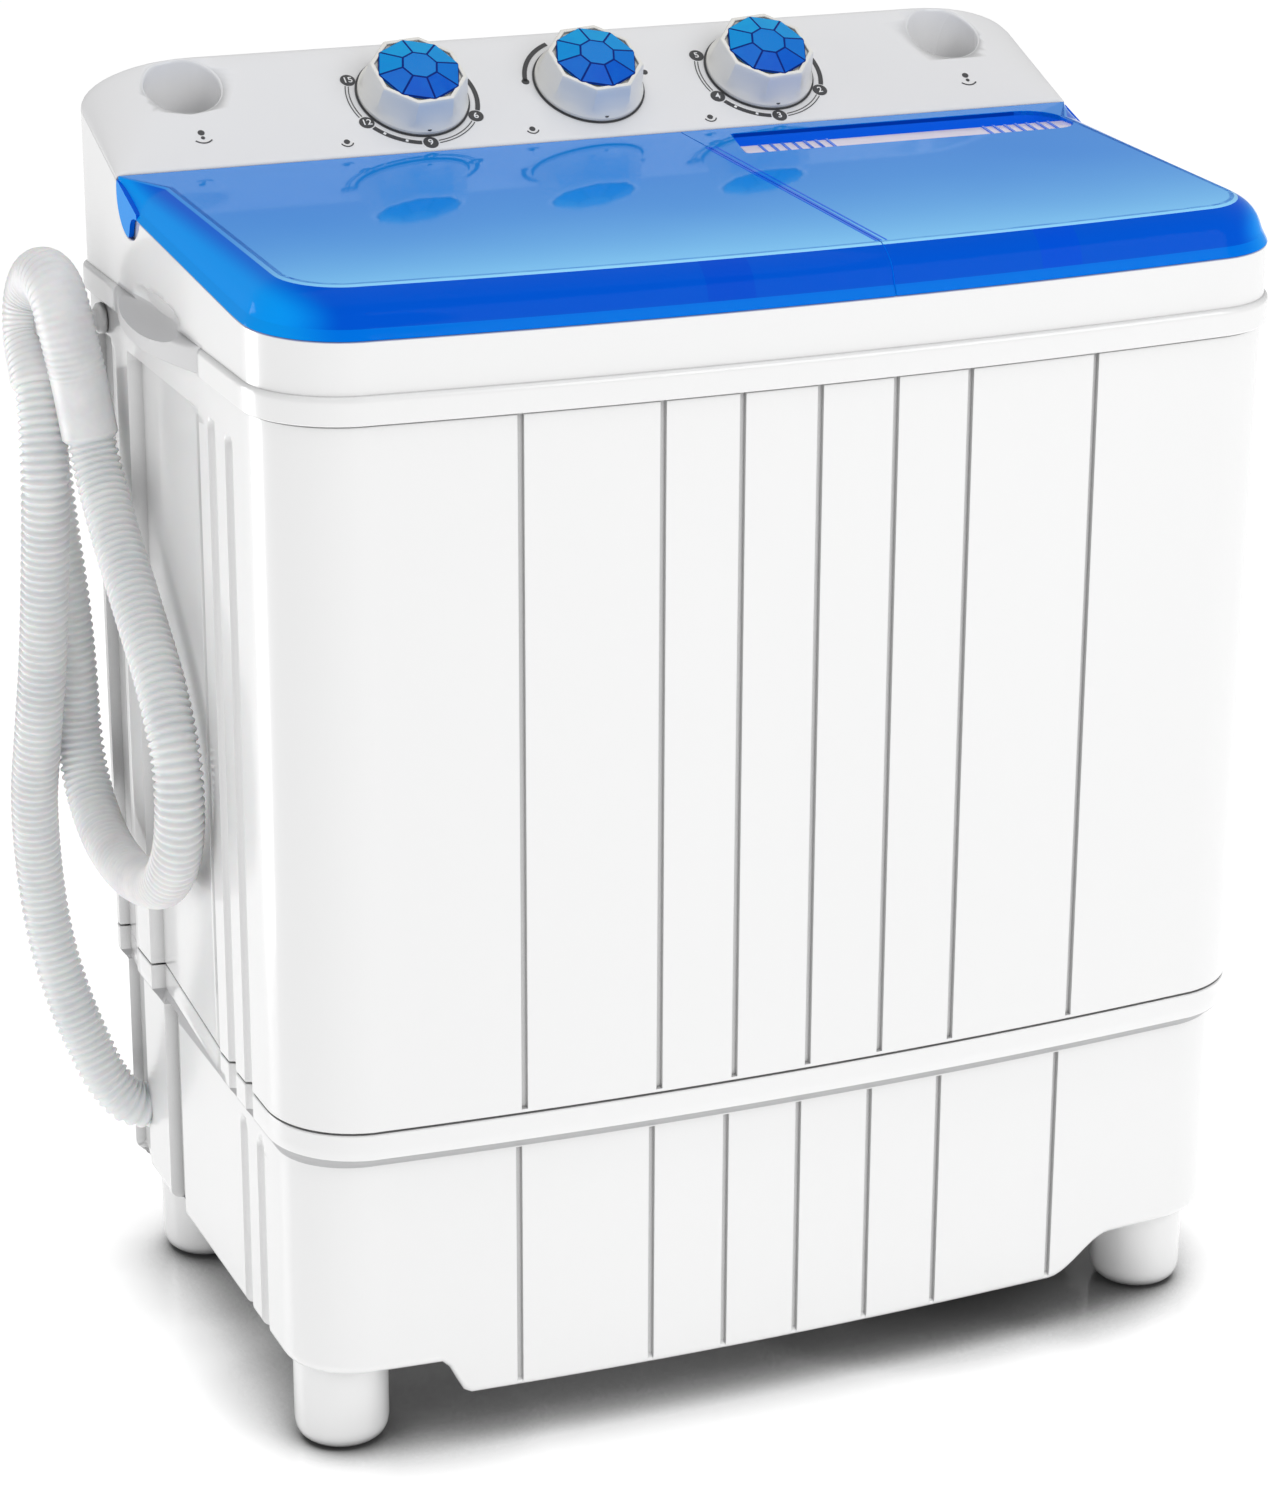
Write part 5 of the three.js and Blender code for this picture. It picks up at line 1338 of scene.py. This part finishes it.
def add_spin_basket():
    columns, rows = 90, 54
    heights = np.linspace(330, 562, rows + 1)
    lower = [(20, 320), (60, 320), (86, 320), (93, 322.4), (97, 327)]
    upper = [(97, 568), (96, 572), (92, 575), (86, 576), (84, 575)]
    profile = lower + [(97, z) for z in heights] + upper
    faces = []
    for index, face in enumerate(grid_faces(len(profile), columns)):
        row, column = index // columns - len(lower), index % columns
        hole = 0 <= row < rows and row % 3 == 1 and (column + 2 * (row // 3 % 2)) % 4 == 1
        if not hole:
            faces.append(face)
    solid = Solid().add(turned_points(profile, columns, SPIN_AXIS).reshape(-1, 3), faces)
    basket = make("basket_drum", solid, GREY, body="spin_basket", replaces=["spin_basket"],
                  sharp=60)
    thicken(basket, 1.8)
    round_off = basket.modifiers.new("rounded holes", "SUBSURF")
    round_off.levels = round_off.render_levels = 1
    hub = [(6.3, 318.5), (26, 318.5), (26, 322), (20, 330), (15, 344), (13.5, 352), (6.3, 352)]
    cone = Solid().grid(turned_points(hub, 48, SPIN_AXIS), wrap_rows=True)
    make("basket_hub", cone, GREY, body="spin_basket", sharp=50)


def add_lint_filter():
    window = rounded_rectangle(-170, -62, 436, 554, 5)
    border = flat_shape(rounded_rectangle(-176, -56, 430, 560, 9), [window], 0, 6, 0.8)
    border.points = [(x, 71.7 - z, y) for x, y, z in border.points]
    for x in range(-164, -62, 9):
        border.box(x, x + 1.2, 68.2, 69.6, 435, 555)
    for z in range(442, 554, 9):
        border.box(-171, -61, 68.8, 70.2, z, z + 1.2)
    make("filter_frame", border, GREY, replaces=["lint_filter"], sharp=40)


CARRIED = {
    "satin_plastic": (SATIN, 0.5), "rubber": (RUBBER, 0.5), "black_plastic": (BLACK, 0.4),
    "steel": (STEEL, 0.3), "motor_paint": (PAINT, 0.6), "aluminium": (ALUMINIUM, 0.4), "white_plastic": (WHITE, 0.4),
    "grey_plastic": (GREY, 0.4), "hose_plastic": (HOSE, 0.4), "blue_lid": (LID_TOP, 0.3),
    "blue_cap": (GEM, 0.3), "pale_strip": (STRIP, 0.3)}


def finish_carried_nodes():
    """The pieces kept from the frame get their slot's finish and softened edges."""
    for name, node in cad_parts.items():
        if node.hide_render:
            continue
        material, width = CARRIED[slot_of(name)]
        node.data.materials.clear()
        node.data.materials.append(material)
        bevel(node, width, 2, 50)


def slot_of(name):
    """The finish of a kept piece, by the first of these words that its name holds."""
    kinds = (("steel", ("screw", "pulsator_shaft", "wash_motor_shaft", "spin_shaft", "brake_lever", "pull_rod")),
             ("aluminium", ("wash_motor_pulley", "pulsator_bearing", "brake_drum", "capacitor")),
             ("rubber", ("mount", "belt", "bellows", "shoe", "plunger")),
             ("black_plastic", ("pulsator_pulley", "switch", "cable")), ("motor_paint", ("motor",)))
    for slot, words in kinds:
        if any(word in name for word in words):
            return slot
    return "satin_plastic"


# ---------------------------------------------------------------- studio
def place_mm(x, y, z):
    return Vector((np.array([x, y, z]) + SHIFT) * MM)


TARGET = place_mm(-27.07, 0, 329.03)
CAMERA = {"azimuth": -22.984, "elevation": 19.797, "roll": 0.23, "distance": 2274.5, "lens": 96.65}


def toward(azimuth, elevation):
    """The direction from the machine to a viewer; azimuth 0 is in front, and positive is to the right."""
    a, e = math.radians(azimuth), math.radians(elevation)
    return Vector((math.sin(a) * math.cos(e), -math.cos(a) * math.cos(e), math.sin(e)))


def facing(direction, roll=0.0):
    """Rotation of a camera or lamp that looks against direction."""
    back = direction.normalized()
    right = Vector((0, 0, 1)).cross(back).normalized()
    up = back.cross(right)
    r = math.radians(roll)
    tilted_right = right * math.cos(r) + up * math.sin(r)
    tilted_up = up * math.cos(r) - right * math.sin(r)
    return Matrix((tilted_right, tilted_up, back)).transposed()


def add_camera():
    data = bpy.data.cameras.new("camera")
    data.lens = CAMERA["lens"]
    data.sensor_width = 36
    data.clip_end = 60
    camera = bpy.data.objects.new("camera", data)
    scene.collection.objects.link(camera)
    back = toward(CAMERA["azimuth"], CAMERA["elevation"])
    matrix = facing(back, CAMERA["roll"]).to_4x4()
    matrix.translation = TARGET + back * CAMERA["distance"] * MM
    camera.matrix_world = matrix
    scene.camera = camera


def add_light(name, azimuth, elevation, distance, width, height, power, target=TARGET):
    """A rectangular lamp that faces a place from a direction; its sizes are in metres."""
    data = bpy.data.lights.new(name, "AREA")
    data.shape = "RECTANGLE"
    data.size = width
    data.size_y = height
    data.energy = power
    lamp = bpy.data.objects.new(name, data)
    scene.collection.objects.link(lamp)
    direction = toward(azimuth, elevation)
    matrix = facing(direction).to_4x4()
    matrix.translation = target + direction * distance
    lamp.matrix_world = matrix
    return lamp


def add_floor():
    m = Nodes("studio_floor")
    patch = m.noise(3, 3, 0.5)
    # Painted contact shadow: ambient occlusion darkens the floor's colour and dims its glow near the machine.
    shade = m.new("ShaderNodeAmbientOcclusion", samples=12)
    shade.inputs["Distance"].default_value = 0.09
    clear_of_painted_shadow = m.ramp(shade.outputs["AO"], 0.3, 0.9)
    white = m.mix(m.ramp(patch, 0.3, 0.7), srgb(253, 253, 253), srgb(251, 251, 251))
    m.set(Base_Color=m.mix(clear_of_painted_shadow, srgb(96, 96, 96), white), Emission_Color=srgb(255, 255, 255))
    m.set(Roughness=m.ramp(patch, 0.3, 0.7, 0.12, 0.16), Emission_Strength=m.math("MULTIPLY", clear_of_painted_shadow, 0.52))
    m.bump(m.noise(700, 2, 0.5), 0.1, 0.00002)
    mesh = bpy.data.meshes.new("floor")
    half = 9.0
    corners = [(-half, -half, 0), (half, -half, 0), (half, half, 0), (-half, half, 0)]
    mesh.from_pydata(corners, [], [(0, 1, 2, 3)])
    mesh.materials.append(m.material)
    floor = bpy.data.objects.new("floor", mesh)
    scene.collection.objects.link(floor)


def add_world():
    world = bpy.data.worlds.new("studio")
    world.use_nodes = True
    tree = world.node_tree
    background = tree.nodes["Background"]
    background.inputs["Color"].default_value = (1, 1, 1, 1)
    background.inputs["Strength"].default_value = 0.5
    seen = tree.nodes.new("ShaderNodeBackground")
    seen.inputs["Color"].default_value = (1, 1, 1, 1)
    path = tree.nodes.new("ShaderNodeLightPath")
    mix = tree.nodes.new("ShaderNodeMixShader")
    tree.links.new(path.outputs["Is Camera Ray"], mix.inputs[0])
    tree.links.new(background.outputs[0], mix.inputs[1])
    tree.links.new(seen.outputs[0], mix.inputs[2])
    tree.links.new(mix.outputs[0], tree.nodes["World Output"].inputs["Surface"])
    scene.world = world


def add_studio():
    add_camera()
    add_floor()
    add_world()
    add_light("key", 30, 30, 3.2, 2.0, 1.6, 25)
    add_light("overhead", 0, 84, 2.6, 2.4, 2.0, 15)
    fill = add_light("left_fill", -80, 18, 3.0, 1.6, 1.6, 8)
    fill.visible_glossy = False
    # A narrow upright lamp low on the left, which the rounded front corner shows as a bright line.
    corner = place_mm(-CROWN_HALF, BODY_FRONT + CROWN + FRONT_RADIUS, 300)
    strip = add_light("left_strip", -133, 0, 0.75, 0.3, 0.9, 3.2, corner)
    strip.visible_diffuse = False
    scene.view_settings.view_transform = "Standard"


# ---------------------------------------------------------------- assembly
add_cabinet()
add_base()
add_feet()
add_guard()
add_frame()
add_panel()
add_bowls()
add_dials()
add_lids()
add_grip()
add_hose()
add_hose_hook()
add_service_cover()
add_cord()
add_tubs()
add_pulsator()
add_spin_basket()
add_lint_filter()
finish_carried_nodes()
add_studio()
